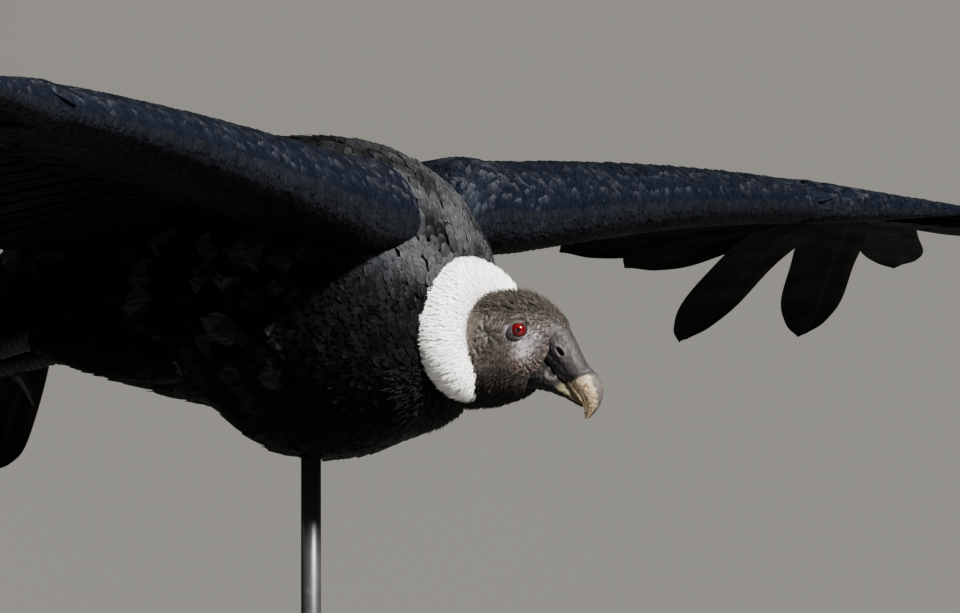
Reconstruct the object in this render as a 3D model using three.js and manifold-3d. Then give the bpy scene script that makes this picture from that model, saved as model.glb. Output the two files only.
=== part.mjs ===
// A life-size female Andean condor in slow, banked flight: wings spread, tail fanned and lowered,
// legs tucked, head drawn back into its white ruff. A plain round stand with one rod holds it up.
//
// Millimetres, +Z up. The origin is the centre of the stand's underside. In the bird's own frame
// +X is its left, -Y is forward and +Z is up, and (0, 0, 0) is midway between its shoulder joints.
// "Forward" values below are counted from there along -Y. The bird group carries the bank and height.
import * as THREE from 'three';
import { mergeVertices } from 'three/addons/utils/BufferGeometryUtils.js';
import Module from 'manifold-3d';

const wasm = await Module();
wasm.setup();

// Driving dimensions
const GAP = 0.35; // between neighbouring pieces
const BANK = THREE.MathUtils.degToRad(4.4); // the right wing is raised
const SHOULDER_HEIGHT = 735; // of the shoulder line above the floor
const SHOULDER_FORWARD = 102; // of the shoulder line, from the stand's axis
const SHOULDER_SHIFT = 3; // of the shoulder line to the bird's left of the stand's axis

// bellyDepth is how far below the shoulder line the rod goes in, and socketDepth how far in it goes
const STAND = { radius: 235, thickness: 16, bevel: 3, rodRadius: 9, bellyDepth: 222, socketDepth: 70 };

const EYE = { forward: 131, height: -113, side: 23.2, radius: 8.6 }; // centre of each eyeball
const HEAD_PITCH = THREE.MathUtils.degToRad(36); // the bill axis points this far below level
const BILL_BASE = 30; // along the bill axis, from the eyes

const RUFF = {
  behindEyes: 61, // centre of the ring
  belowEyes: 3,
  halfWidth: 44,
  halfHeight: 46,
  tube: 26,
  yaw: THREE.MathUtils.degToRad(15), // turned to the bird's right
  openHalfAngle: THREE.MathUtils.degToRad(18), // the gap under the throat
};

const ARM = { inner: 60, outer: 660, secondaries: 23, scallop: 9 };
const RIGHT_ROOT_LOWERED = 12; // the raised right wing hangs lower where it leaves the body
// stack is the height of each long feather over the next one: inner primaries and middle tail
// feathers lie on top
const HAND = { length: 200, sweep: 14, dihedral: 1.5, stack: 1.3 };
const PRIMARY_WIDTH = 66;
const VANE = 3.2; // thickness of a vane at its shaft, in these solids
const TAIL = {
  feathers: 12,
  forward: -392,
  height: -92,
  length: 360,
  width: 66,
  halfFan: 49,
  pitch: 23,
  stack: 1.2,
};

// The sections of a loft through named rails. Each station holds [forward, height] of the section's
// top and bottom point, and its half width.
const HEAD_AND_NECK = [ // from the bill's base back to the shoulders, relative to the eyes
  { top: [37.8, 1], bottom: [0.8, -50], half: 16 },
  { top: [34, 11.5], bottom: [-7, -56], half: 21 },
  { top: [24, 20], bottom: [-14, -59], half: 26 },
  { top: [12, 26], bottom: [-22, -61.5], half: 29 },
  { top: [0, 32], bottom: [-30, -64], half: 31 },
  { top: [-14, 36], bottom: [-40, -67], half: 33 },
  { top: [-30, 37], bottom: [-50, -69], half: 37 },
  { top: [-48, 34], bottom: [-62, -68], half: 41 },
  { top: [-67, 31], bottom: [-78, -66], half: 43 },
];
const NECK_STARTS = 5.4 / 8; // share of that row of stations

const TRUNK = [ // from the neck back to the tail, relative to the shoulder line
  { top: [63.5, -82], bottom: [52.5, -179.5], half: 43 },
  { top: [62, -46], bottom: [40, -194], half: 70 },
  { top: [50, -14], bottom: [18, -205], half: 96 },
  { top: [26, 18], bottom: [-12, -216], half: 116 },
  { top: [-18, 46], bottom: [-52, -229], half: 129 },
  { top: [-72, 60], bottom: [-92, -231], half: 133 },
  { top: [-124, 59], bottom: [-138, -221], half: 131 },
  { top: [-172, 51], bottom: [-182, -192], half: 124 },
  { top: [-230, 38], bottom: [-238, -179], half: 113 },
  { top: [-296, 18], bottom: [-300, -166], half: 95 },
  { top: [-360, -12], bottom: [-364, -150], half: 75 },
  { top: [-415, -44], bottom: [-420, -136], half: 55 },
  { top: [-448, -68], bottom: [-452, -122], half: 34 },
];

const BILL_UPPER = [ // along and above the bill axis
  { top: [30, 23.8], bottom: [30, -6.8], half: 15.5 },
  { top: [40, 20], bottom: [39, -8.6], half: 13.4 },
  { top: [50, 16], bottom: [48, -11.4], half: 12.2 },
  { top: [58.5, 12.4], bottom: [57, -12.4], half: 11.8 },
  { top: [65, 10.4], bottom: [65, -11.6], half: 12 },
  { top: [72.4, 10.6], bottom: [72, -13.4], half: 11.8 },
  { top: [82, 8], bottom: [79, -15.4], half: 10.4 },
  { top: [89.4, 3], bottom: [84.4, -17], half: 8.6 },
  { top: [94.2, -5], bottom: [87.4, -20], half: 6.2 },
  { top: [96, -14.6], bottom: [89.6, -23.4], half: 3.8 },
  { top: [94.6, -24], bottom: [92.2, -27], half: 1.3 },
];
const BILL_LOWER = [
  { top: [30, -7.4], bottom: [30, -41], half: 15.5 },
  { top: [39, -9.2], bottom: [40, -36.4], half: 13.6 },
  { top: [48, -12], bottom: [50, -30.4], half: 11.4 },
  { top: [57, -13], bottom: [60, -26.4], half: 10 },
  { top: [65, -12.3], bottom: [68, -24], half: 9 },
  { top: [72, -14.2], bottom: [76, -22.8], half: 7 },
  { top: [80.4, -16.6], bottom: [82.4, -21.4], half: 3.4 },
];

const WING = [ // leading and trailing edge of one wing: side, forward, height; thickness
  { lead: [60, 46, -4], trail: [60, -292, -38], thick: 88 },
  { lead: [130, 55, 2], trail: [130, -312, -42], thick: 86 },
  { lead: [240, 60, 14], trail: [240, -334, -40], thick: 78 },
  { lead: [380, 63, 27], trail: [380, -346, -29], thick: 66 },
  { lead: [520, 65, 36], trail: [520, -344, -16], thick: 54 },
  { lead: [660, 59, 41], trail: [660, -330, -3], thick: 44 },
];
const WRIST = [662, 36, 41];
// Its flesh and small coverts: the share of the hand, how far ahead of the bone the edge lies,
// the depth from front to back, and the thickness
const HAND_SECTIONS = [
  { share: -0.06, ahead: 24, chord: 190, thick: 44 },
  { share: 0.25, ahead: 22, chord: 165, thick: 35 },
  { share: 0.5, ahead: 20, chord: 135, thick: 27 },
  { share: 0.75, ahead: 17, chord: 105, thick: 20 },
  { share: 1, ahead: 12, chord: 70, thick: 13 },
  { share: 1.2, ahead: 8, chord: 40, thick: 6 },
];
// Primary feathers, innermost first: root as a share of the hand, outward angle from straight back,
// droop at the root, further sag at the tip (a negative one bends up) and length
const PRIMARIES = [
  { root: 0.06, out: 8, droop: 4, sag: 4, length: 362 },
  { root: 0.1, out: 16, droop: 4, sag: 6, length: 385 },
  { root: 0.14, out: 25, droop: 3.6, sag: 20, length: 420 },
  { root: 0.19, out: 37, droop: 3, sag: 31, length: 455 },
  { root: 0.25, out: 43.5, droop: 3, sag: 92, length: 500 },
  { root: 0.34, out: 56.5, droop: 2.5, sag: 82, length: 525 },
  { root: 0.46, out: 65, droop: 0.5, sag: 25, length: 540 },
  { root: 0.62, out: 74, droop: 1.2, sag: -18, length: 545 },
  { root: 0.8, out: 81.5, droop: 1, sag: -30, length: 525 },
  { root: 1, out: 88, droop: 0.6, sag: -34, length: 470 },
];

// Helpers: points, lofts and cuts
const point = (side, forward, height) => new THREE.Vector3(side, -forward, height);
const rail = (points) => new THREE.CatmullRomCurve3(points, false, 'centripetal');
const blend = (a, b, t) => a + (b - a) * t;

// One closed body through rings that all have the same number of points.
function loftThrough(rings) {
  const sides = rings[0].length;
  const positions = rings.flat();
  const indices = [];
  for (let i = 0; i + 1 < rings.length; i++) {
    for (let j = 0; j < sides; j++) {
      const a = i * sides + j;
      const b = i * sides + ((j + 1) % sides);
      indices.push(a, b, b + sides, a, b + sides, a + sides);
    }
  }
  for (const [ring, turned] of [[0, true], [rings.length - 1, false]]) {
    const middle = positions.length;
    const sum = rings[ring].reduce((total, p) => total.add(p), new THREE.Vector3());
    positions.push(sum.divideScalar(sides));
    for (let j = 0; j < sides; j++) {
      const a = ring * sides + j;
      const b = ring * sides + ((j + 1) % sides);
      indices.push(...(turned ? [b, a, middle] : [a, b, middle]));
    }
  }
  const geometry = new THREE.BufferGeometry().setFromPoints(positions);
  geometry.setIndex(indices);
  return geometry;
}

// A three.js geometry as a solid, turned right way out, and back again.
function solid(geometry) {
  const bare = geometry.clone();
  for (const name of ['normal', 'uv']) {
    bare.deleteAttribute(name);
  }
  const merged = mergeVertices(bare, 1e-4);
  const build = (triVerts) => new wasm.Manifold(
    new wasm.Mesh({ numProp: 3, vertProperties: merged.attributes.position.array, triVerts }),
  );
  const faces = new Uint32Array(merged.index.array);
  const made = build(faces);
  return made.volume() > 0 ? made : build(faces.reverse());
}

function geometryOf(manifold) {
  const { numProp, numVert, vertProperties, triVerts } = manifold.getMesh();
  const positions = new Float32Array(numVert * 3);
  for (let i = 0; i < numVert; i++) {
    positions.set(vertProperties.subarray(i * numProp, i * numProp + 3), i * 3);
  }
  const geometry = new THREE.BufferGeometry();
  geometry.setAttribute('position', new THREE.BufferAttribute(positions, 3));
  geometry.setIndex(new THREE.BufferAttribute(triVerts, 1));
  geometry.computeVertexNormals();
  return geometry;
}

const joined = (solids) => solids.reduce((all, next) => all.add(next));

// The largest body of a cut solid, without the slivers that a cut can leave beside it.
const main = (cut) => cut.decompose().reduce((best, next) => (next.volume() > best.volume() ? next : best));

// A loft along a row of {top, bottom, half} stations. topHeavy moves the widest level up, grow makes
// the body that a neighbour is cut with, and frame turns [forward, height] into a point.
function railLoft(stations, { rings, sides, from = 0, to = 1, topHeavy = 0, grow = 0, frame }) {
  const tops = rail(stations.map((s) => frame(...s.top)));
  const bottoms = rail(stations.map((s) => frame(...s.bottom)));
  const halves = rail(stations.map((s) => new THREE.Vector3(s.half, 0, 0)));
  const made = [];
  for (let i = 0; i < rings; i++) {
    const t = blend(from, to, i / (rings - 1));
    const top = tops.getPoint(t);
    const bottom = bottoms.getPoint(t);
    const half = halves.getPoint(t).x + grow;
    const centre = top.clone().add(bottom).divideScalar(2);
    const upright = top.clone().sub(centre);
    upright.setLength(upright.length() + grow);
    made.push(Array.from({ length: sides }, (_, j) => {
      const angle = (2 * Math.PI * j) / sides;
      const level = Math.sin(angle);
      const wide = half * Math.cos(angle) * (1 + topHeavy * level);
      return centre.clone().addScaledVector(upright, level).add(new THREE.Vector3(wide, 0, 0));
    }));
  }
  return loftThrough(made);
}

// A tapering tube along points, with its radius a function of the share of the way along.
function taperedTube(points, radiusAt, { rings = 6, sides = 8 } = {}) {
  const path = rail(points);
  const frames = path.computeFrenetFrames(rings - 1, false);
  return loftThrough(Array.from({ length: rings }, (_, i) => {
    const t = i / (rings - 1);
    const centre = path.getPoint(t);
    return Array.from({ length: sides }, (__, j) => {
      const angle = (2 * Math.PI * j) / sides;
      return centre.clone()
        .addScaledVector(frames.normals[i], Math.cos(angle) * radiusAt(t))
        .addScaledVector(frames.binormals[i], Math.sin(angle) * radiusAt(t));
    });
  }));
}

// One feather as a thin blade of diamond section: narrow at the quill, widest past the middle,
// round at the tip. across points from its trailing to its leading side.
const VANE_SHAPE = [[0, 0.3], [0.2, 0.72], [0.5, 0.97], [0.78, 0.96], [0.93, 0.6], [1, 0.12]];
function blade({ root, along, across, length, width, sag = 0, thickness = VANE }) {
  const normal = new THREE.Vector3().crossVectors(along, across).normalize();
  if (normal.z < 0) normal.negate();
  return loftThrough(VANE_SHAPE.map(([t, wide]) => {
    const centre = root.clone().addScaledVector(along, t * length).addScaledVector(normal, -sag * t * t);
    const half = (width * wide) / 2;
    const deep = (thickness * Math.max(0.35, 1 - 0.65 * t)) / 2;
    return [
      centre.clone().addScaledVector(across, half),
      centre.clone().addScaledVector(normal, deep),
      centre.clone().addScaledVector(across, -half),
      centre.clone().addScaledVector(normal, -deep),
    ];
  }));
}

// Head, neck and trunk
const fromEyes = (forward, height) => point(0, EYE.forward + forward, EYE.height + height);
const fromShoulders = (forward, height) => point(0, forward, height);
const onBillAxis = (along, above) => fromEyes(
  along * Math.cos(HEAD_PITCH) + above * Math.sin(HEAD_PITCH),
  -along * Math.sin(HEAD_PITCH) + above * Math.cos(HEAD_PITCH),
);

const SKULL_LOFT = { rings: 12, sides: 16, topHeavy: 0.06, frame: fromEyes };
const NECK_LOFT = { ...SKULL_LOFT, rings: 4 };
const TRUNK_LOFT = { rings: 17, sides: 18, topHeavy: 0.1, frame: fromShoulders };
const cutShare = GAP / 100; // a gap's share of the head and neck, which are about 100 mm long

function skull(grow = 0) {
  const body = solid(railLoft(HEAD_AND_NECK, { ...SKULL_LOFT, to: NECK_STARTS - cutShare, grow }));
  return grow ? body : body.subtract(eyeball(1, GAP)).subtract(eyeball(-1, GAP));
}

function eyeball(side, grow = 0) {
  const ball = new THREE.SphereGeometry(EYE.radius + grow, 12, 6);
  ball.rotateZ(Math.PI / 2);
  const centre = point(side * EYE.side, EYE.forward, EYE.height);
  return solid(ball.translate(centre.x, centre.y, centre.z));
}

function neck(grow = 0) {
  return solid(railLoft(HEAD_AND_NECK, { ...NECK_LOFT, from: NECK_STARTS, to: 1 - cutShare, grow }));
}

function trunk(grow = 0) {
  return solid(railLoft(TRUNK, { ...TRUNK_LOFT, grow }));
}

function ruff() {
  const centre = fromEyes(-RUFF.behindEyes, -RUFF.belowEyes);
  const reach = Math.PI - RUFF.openHalfAngle;
  const path = Array.from({ length: 13 }, (_, i) => {
    const angle = blend(-reach, reach, i / 12);
    const across = RUFF.halfWidth * Math.sin(angle);
    return centre.clone().add(point(
      across * Math.cos(RUFF.yaw),
      across * Math.sin(RUFF.yaw),
      RUFF.halfHeight * Math.cos(angle),
    ));
  });
  const plump = (t) => RUFF.tube * (0.72 + 0.28 * Math.sin(Math.PI * t) ** 0.6);
  return solid(taperedTube(path, plump, { rings: 17, sides: 9 }))
    .subtract(neck(GAP)).subtract(trunk(GAP)).subtract(skull(GAP));
}

const bill = (stations) => solid(railLoft(stations, { rings: 11, sides: 10, frame: onBillAxis }))
  .subtract(skull(GAP));

// Wings
// A section of the arm wing: round at the leading edge, deep over the bones, thin over the feathers.
const CHORD_POINTS = [0.025, 0.11, 0.3, 0.56];
const DEEPEST = 0.12; // share of the chord
const FLESH_ENDS = 0.56;
const CAMBER = 0.045;
function fullness(share) {
  if (share < DEEPEST) return Math.sqrt(1 - (1 - share / DEEPEST) ** 2);
  return (1 + Math.cos(Math.PI * Math.min(1, (share - DEEPEST) / (FLESH_ENDS - DEEPEST)))) / 2;
}

function wingSection(lead, trail, thick) {
  const chord = trail.clone().sub(lead);
  const up = new THREE.Vector3(0, -chord.z, chord.y).normalize();
  const at = (share, face) => {
    const camber = CAMBER * 4 * share * (1 - share) * chord.length();
    const deep = blend(VANE / 2, thick / 2, fullness(share));
    return lead.clone().addScaledVector(chord, share).addScaledVector(up, camber + face * deep);
  };
  return [
    lead.clone(),
    ...CHORD_POINTS.map((share) => at(share, 1)),
    at(1, 0.5),
    at(1, -0.5),
    ...CHORD_POINTS.toReversed().map((share) => at(share, -1)),
  ];
}

function wingRails(side) {
  const lowered = side < 0 ? RIGHT_ROOT_LOWERED : 0;
  const place = ([x, forward, height]) => point(
    side * x,
    forward,
    height - lowered * (1 - (x / ARM.outer) ** 2),
  );
  return {
    lead: rail(WING.map((s) => place(s.lead))),
    trail: rail(WING.map((s) => place(s.trail))),
    thick: rail(WING.map((s) => new THREE.Vector3(s.thick, 0, 0))),
  };
}

// Upper arm and forearm, with the tips of the secondaries as scallops along the trailing edge
function armWing(side) {
  const { lead, trail, thick } = wingRails(side);
  const rings = [];
  for (let i = 0; i <= 2 * ARM.secondaries; i++) {
    const t = i / (2 * ARM.secondaries);
    const tip = trail.getPoint(t).add(new THREE.Vector3(0, i % 2 ? 0 : -ARM.scallop, 0));
    rings.push(wingSection(lead.getPoint(t), tip, thick.getPoint(t).x));
  }
  return solid(loftThrough(rings)).subtract(trunk(GAP));
}

const outerPart = (wing, side, x) => wing.trimByPlane([side, 0, 0], x);
const innerPart = (wing, side, x) => wing.trimByPlane([-side, 0, 0], -x);

function handDirection(side, out, droop) {
  const angle = THREE.MathUtils.degToRad(out);
  const drop = THREE.MathUtils.degToRad(droop);
  const level = Math.cos(drop);
  return new THREE.Vector3(side * Math.sin(angle) * level, Math.cos(angle) * level, -Math.sin(drop));
}

// The hand's flesh and small coverts, and its primaries spread like fingers
function handWing(side) {
  const wrist = point(side * WRIST[0], WRIST[1], WRIST[2]);
  const along = handDirection(side, 90 + HAND.sweep, -HAND.dihedral);
  const fan = PRIMARIES.map(({ root: share, out, droop, sag, length }, i) => {
    const direction = handDirection(side, out, droop);
    const across = new THREE.Vector3(0, 0, 1).cross(direction).multiplyScalar(-side).normalize();
    const root = wrist.clone().addScaledVector(along, HAND.length * share);
    return solid(blade({
      root: root.add(new THREE.Vector3(0, 0, HAND.stack * (4.5 - i))),
      along: direction,
      across,
      length,
      sag,
      width: PRIMARY_WIDTH,
    }));
  });
  const flesh = HAND_SECTIONS.map(({ share, ahead, chord, thick }) => {
    const bone = wrist.clone().addScaledVector(along, HAND.length * share);
    const lead = bone.clone().add(point(0, ahead, 0));
    const trail = bone.clone().add(point(side * 0.25 * chord, ahead - chord, -0.09 * chord));
    return wingSection(lead, trail, thick);
  });
  return outerPart(joined([solid(loftThrough(flesh)), ...fan]), side, ARM.outer + GAP);
}

// Tail: twelve feathers in a lowered fan
function tail() {
  const root = point(0, TAIL.forward, TAIL.height);
  const fan = Array.from({ length: TAIL.feathers }, (_, i) => {
    const out = blend(-TAIL.halfFan, TAIL.halfFan, i / (TAIL.feathers - 1));
    const direction = handDirection(1, out, TAIL.pitch);
    const lift = -TAIL.stack * Math.abs(i - 5.4);
    return solid(blade({
      root: root.clone().addScaledVector(direction, 20).add(new THREE.Vector3(0, 0, lift)),
      along: direction,
      across: new THREE.Vector3(0, 0, 1).cross(direction).normalize(),
      length: TAIL.length - 20,
      width: TAIL.width,
    }));
  });
  return joined(fan).subtract(trunk(GAP));
}

// Legs: feathered thighs, bare feet folded back under the tail, and their claws
const THIGH = { side: 60, from: [-190, -128], to: [-356, -128], radius: 42 };
const HEEL = [48, -360, -128];
const TOE_ROOT = [44, -464, -152];
const TOES = [ // outward angle, length, share of the drop
  { out: -16, length: 66, name: 'inner' },
  { out: 2, length: 96, name: 'middle' },
  { out: 20, length: 70, name: 'outer' },
  { out: 160, length: 24, name: 'hind' },
];
const CLAW_LENGTH = 24;
const placed = (side, [x, forward, height]) => point(side * x, forward, height);

function thigh(side, grow = 0) {
  const path = [
    point(side * (THIGH.side - 4), ...THIGH.from),
    point(side * THIGH.side, (THIGH.from[0] + THIGH.to[0]) / 2, THIGH.from[1] - 8),
    point(side * (HEEL[0] + 2), ...THIGH.to),
  ];
  return solid(taperedTube(path, (t) => THIGH.radius * (1 - 0.66 * t) + grow, { rings: 6, sides: 10 }))
    .subtract(trunk(GAP));
}

const toePath = (side, { out, length }) => {
  const start = placed(side, TOE_ROOT);
  const direction = handDirection(side, out, 21);
  return [0, 0.5, 1].map((t) => start.clone().addScaledVector(direction, length * t)
    .add(new THREE.Vector3(0, 0, 7 * Math.sin(Math.PI * t))));
};

function foot(side) {
  const shank = solid(taperedTube(
    [placed(side, HEEL), placed(side, [46, -412, -143]), placed(side, TOE_ROOT)],
    (t) => 10 - 1.5 * Math.sin(Math.PI * t),
    { rings: 4, sides: 8 },
  ));
  const toes = TOES.map((toe) => {
    const path = toePath(side, toe);
    return solid(taperedTube(path, (t) => 8 - 2.6 * t, { rings: 4, sides: 6 }));
  });
  return joined([shank, ...toes]).subtract(thigh(side, GAP)).subtract(trunk(GAP)).subtract(tail());
}

function claw(side, toe) {
  const path = toePath(side, toe);
  const end = path[2];
  const onward = end.clone().sub(path[1]).normalize();
  const curve = [0, 0.4, 0.75, 1].map((t) => end.clone()
    .addScaledVector(onward, 4 * GAP + CLAW_LENGTH * t * 0.86)
    .add(new THREE.Vector3(0, 0, -CLAW_LENGTH * 0.5 * t * t)));
  return solid(taperedTube(curve, (t) => blend(4.4, 0.7, t), { rings: 4, sides: 5 }));
}

// The scene
const material = (color, roughness, metalness = 0) => (
  new THREE.MeshStandardMaterial({ color, roughness, metalness })
);
const FINISH = {
  plumage: material(0x16171b, 0.55),
  ruff: material(0xf4f2ec, 0.9),
  skin: material(0x4a413c, 0.6),
  horn: material(0xb9a98a, 0.4),
  scale: material(0x6b6a68, 0.6),
  claw: material(0x26221f, 0.35),
  eye: material(0xa01818, 0.08),
  stand: material(0x2a2b2d, 0.45, 0.6),
};

const bird = new THREE.Group();
bird.rotation.y = BANK;
bird.position.set(SHOULDER_SHIFT, -SHOULDER_FORWARD, SHOULDER_HEIGHT);
bird.updateMatrixWorld(true);

function add(group, name, body, finish) {
  const mesh = new THREE.Mesh(geometryOf(main(body)), finish);
  mesh.name = name;
  group.add(mesh);
}

function rod(grow = 0) {
  const top = SHOULDER_HEIGHT - STAND.bellyDepth + STAND.socketDepth;
  const bottom = STAND.thickness + GAP - grow;
  const radius = STAND.rodRadius + grow;
  const shape = new THREE.CylinderGeometry(radius, radius, top + grow - bottom, 12);
  return shape.rotateX(Math.PI / 2).translate(0, 0, (top + grow + bottom) / 2);
}

const rodInBird = solid(rod(GAP).applyMatrix4(bird.matrixWorld.clone().invert()));
add(bird, 'trunk', trunk().subtract(rodInBird), FINISH.plumage);
add(bird, 'neck', neck(), FINISH.skin);
add(bird, 'ruff', ruff(), FINISH.ruff);
add(bird, 'head', skull(), FINISH.skin);
add(bird, 'bill_upper', bill(BILL_UPPER), FINISH.horn);
add(bird, 'bill_lower', bill(BILL_LOWER), FINISH.horn);
add(bird, 'tail', tail(), FINISH.plumage);
for (const [side, name] of [[1, 'left'], [-1, 'right']]) {
  const arm = armWing(side);
  const elbow = 362; // where the upper arm's part ends
  add(bird, `eye_${name}`, eyeball(side), FINISH.eye);
  add(bird, `wing_${name}_upper_arm`, innerPart(arm, side, elbow - GAP / 2), FINISH.plumage);
  add(bird, `wing_${name}_forearm`, outerPart(arm, side, elbow + GAP / 2), FINISH.plumage);
  add(bird, `wing_${name}_hand`, handWing(side), FINISH.plumage);
  add(bird, `thigh_${name}`, thigh(side), FINISH.plumage);
  add(bird, `foot_${name}`, foot(side), FINISH.scale);
  for (const toe of TOES) {
    add(bird, `claw_${name}_${toe.name}`, claw(side, toe), FINISH.claw);
  }
}

const stand = new THREE.Group();
const plate = new THREE.LatheGeometry(
  [
    [0, 0],
    [STAND.radius, 0],
    [STAND.radius, STAND.thickness - STAND.bevel],
    [STAND.radius - STAND.bevel, STAND.thickness],
    [0, STAND.thickness],
  ].map(([r, z]) => new THREE.Vector2(r, z)),
  36,
).rotateX(Math.PI / 2);
add(stand, 'stand_base', solid(plate), FINISH.stand);
add(stand, 'stand_rod', solid(rod()), FINISH.stand);

const condor = new THREE.Group();
condor.add(bird, stand);
export default condor;
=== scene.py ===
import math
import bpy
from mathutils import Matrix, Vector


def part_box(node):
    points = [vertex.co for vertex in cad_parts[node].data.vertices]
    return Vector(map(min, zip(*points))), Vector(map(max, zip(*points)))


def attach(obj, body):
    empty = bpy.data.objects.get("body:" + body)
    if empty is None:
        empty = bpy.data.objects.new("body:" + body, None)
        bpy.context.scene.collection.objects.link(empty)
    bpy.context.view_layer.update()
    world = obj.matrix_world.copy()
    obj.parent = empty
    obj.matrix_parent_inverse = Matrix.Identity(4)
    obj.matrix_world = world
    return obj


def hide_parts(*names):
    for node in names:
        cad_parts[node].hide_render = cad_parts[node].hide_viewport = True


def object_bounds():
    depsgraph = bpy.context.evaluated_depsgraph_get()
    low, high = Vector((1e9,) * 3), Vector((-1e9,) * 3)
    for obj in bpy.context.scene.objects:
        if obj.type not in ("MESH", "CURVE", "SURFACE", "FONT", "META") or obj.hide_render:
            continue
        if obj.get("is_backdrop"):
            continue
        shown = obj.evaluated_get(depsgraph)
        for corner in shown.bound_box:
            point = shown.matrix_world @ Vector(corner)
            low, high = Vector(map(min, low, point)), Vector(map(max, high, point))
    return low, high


bl_info = {
    "name": "Andean condor in flight",
    "version": (1, 0, 0),
    "blender": (4, 5, 0),
    "location": "3D Viewport > Sidebar > Condor",
    "description": "A life-size female Andean condor with modelled plumage, on a display stand",
    "category": "Object",
}

import bpy
import numpy as np
from mathutils import Vector

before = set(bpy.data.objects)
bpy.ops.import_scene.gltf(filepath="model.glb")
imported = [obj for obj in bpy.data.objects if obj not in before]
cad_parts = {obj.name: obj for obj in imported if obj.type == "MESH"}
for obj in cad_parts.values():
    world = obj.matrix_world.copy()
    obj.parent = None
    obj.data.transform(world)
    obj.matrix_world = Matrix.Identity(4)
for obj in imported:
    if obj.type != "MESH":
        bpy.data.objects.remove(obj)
CAD_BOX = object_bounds()

# Lengths are in millimetres in the bird's own frame, as in the part's source: x to the bird's left,
# y backwards, z up, from midway between the shoulder joints. to_world turns them into metres.
MM = 0.001
TURN = 2 * math.pi
MIRRORED = np.array([-1, 1, 1])
BANK = math.radians(4.4)
SHOULDERS = np.array([3.0, -102.0, 735.0])
EYE = {"forward": 131.0, "height": -113.0, "side": 23.2, "radius": 8.6}
HEAD_PITCH = math.radians(36)
GAZE = math.radians(27)

# Each station is (top forward, top height, bottom forward, bottom height, half width), from the eyes
# for the head, from the shoulders for the trunk, and from the eyes along its own axis for the bill
HEAD_AND_NECK = [
    (37.8, 1, 0.8, -50, 16),
    (34, 11.5, -7, -56, 21),
    (24, 20, -14, -59, 26),
    (12, 26, -22, -61.5, 29),
    (0, 32, -30, -64, 31),
    (-14, 36, -40, -67, 33),
    (-30, 37, -50, -69, 37),
    (-48, 34, -62, -68, 41),
    (-67, 31, -78, -66, 43),
]
TRUNK = [
    (62, -46, 40, -194, 70),
    (50, -14, 18, -205, 96),
    (26, 18, -12, -216, 116),
    (-18, 46, -52, -229, 129),
    (-72, 60, -92, -231, 133),
    (-124, 59, -138, -221, 131),
    (-172, 51, -182, -192, 124),
    (-230, 38, -238, -179, 113),
    (-296, 18, -300, -166, 95),
    (-360, -12, -364, -150, 75),
    (-415, -44, -420, -136, 55),
    (-448, -68, -452, -122, 34),
]
BILL_UPPER = [
    (20, 25.5, 22, -5, 14.5),
    (30, 23.8, 30, -6.8, 15.2),
    (40, 20, 39, -8.6, 13.4),
    (50, 16, 48, -11.4, 12.2),
    (58.5, 12.4, 57, -12.4, 11.8),
    (65, 10.4, 65, -11.6, 12),
    (72.4, 10.6, 72, -13.4, 11.8),
    (82, 8, 79, -15.4, 10.4),
    (89.4, 3, 84.4, -17, 8.6),
    (94.2, -5, 87.4, -20, 6.2),
    (96, -14.6, 89.6, -23.4, 3.8),
    (94.6, -24, 92.2, -27, 1.3),
]
BILL_LOWER = [
    (22, -6, 22, -43, 14.5),
    (30, -7.4, 30, -41, 15),
    (39, -9.2, 40, -36.4, 13.2),
    (48, -12, 50, -30.4, 11.2),
    (57, -13, 60, -26.4, 9.8),
    (65, -12.3, 68, -24, 8.8),
    (72, -14.2, 76, -22.8, 6.8),
    (80.4, -16.6, 82.4, -21.4, 3.2),
]
# The ruff's ring lies behind and below the eyes, is turned and leans forward, and is open at the throat
RUFF = {
    "behind": 60, "below": 3, "half_width": 41, "half_height": 42,
    "tube": 26, "yaw": 15, "open": 2, "lean": 0.13, "core": 0.88,
}

# Leading edge, trailing edge (side, forward, height each) and thickness of one wing
WING = [
    (18, 24, -52, 18, -292, -66, 62),
    (60, 46, -4, 60, -292, -38, 88),
    (130, 55, 2, 130, -312, -42, 86),
    (240, 60, 14, 240, -334, -40, 78),
    (380, 63, 27, 380, -346, -29, 66),
    (520, 65, 36, 520, -344, -16, 54),
    (660, 59, 41, 660, -330, -3, 44),
]
ARM_OUTER = 660
FREE_ARM = 1 / 6  # the share of the wing's rails that lies inside the body
RIGHT_ROOT_LOWERED = 12
SECONDARIES = 23
WRIST = np.array([662.0, -36.0, 41.0])
HAND = {"length": 200, "sweep": 14, "dihedral": 1.5, "stack": 1.3}
# Share of the hand, distance ahead of the bone, depth from front to back, thickness
HAND_SECTIONS = [
    (-0.06, 24, 190, 44),
    (0.25, 22, 165, 35),
    (0.5, 20, 135, 27),
    (0.75, 17, 105, 20),
    (1, 12, 70, 13),
    (1.2, 8, 40, 6),
]
# Root as a share of the hand, outward angle, droop, sag at the tip, length
PRIMARIES = [
    (0.06, 8, 4, 4, 362),
    (0.1, 16, 4, 6, 385),
    (0.14, 25, 3.6, 20, 420),
    (0.19, 37, 3, 31, 455),
    (0.25, 43.5, 3, 92, 500),
    (0.34, 56.5, 2.5, 82, 525),
    (0.46, 65, 0.5, 25, 540),
    (0.62, 74, 1.2, -18, 545),
    (0.8, 81.5, 1, -30, 525),
    (1, 88, 0.6, -34, 470),
]
# The innermost primaries are turned about their shafts: places in the list above, and degrees there
PRIMARY_TWISTS = ([0, 2, 3, 4], [16, 32, 26, 0])
PRIMARY_WIDTH, SECONDARY_WIDTH, HAND_COVERT_WIDTH, ALULA_WIDTH = 66, 54, 36, 25
TAIL = {"feathers": 12, "forward": -392, "height": -92, "length": 360, "width": 66, "fan": 49, "pitch": 23}
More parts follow.
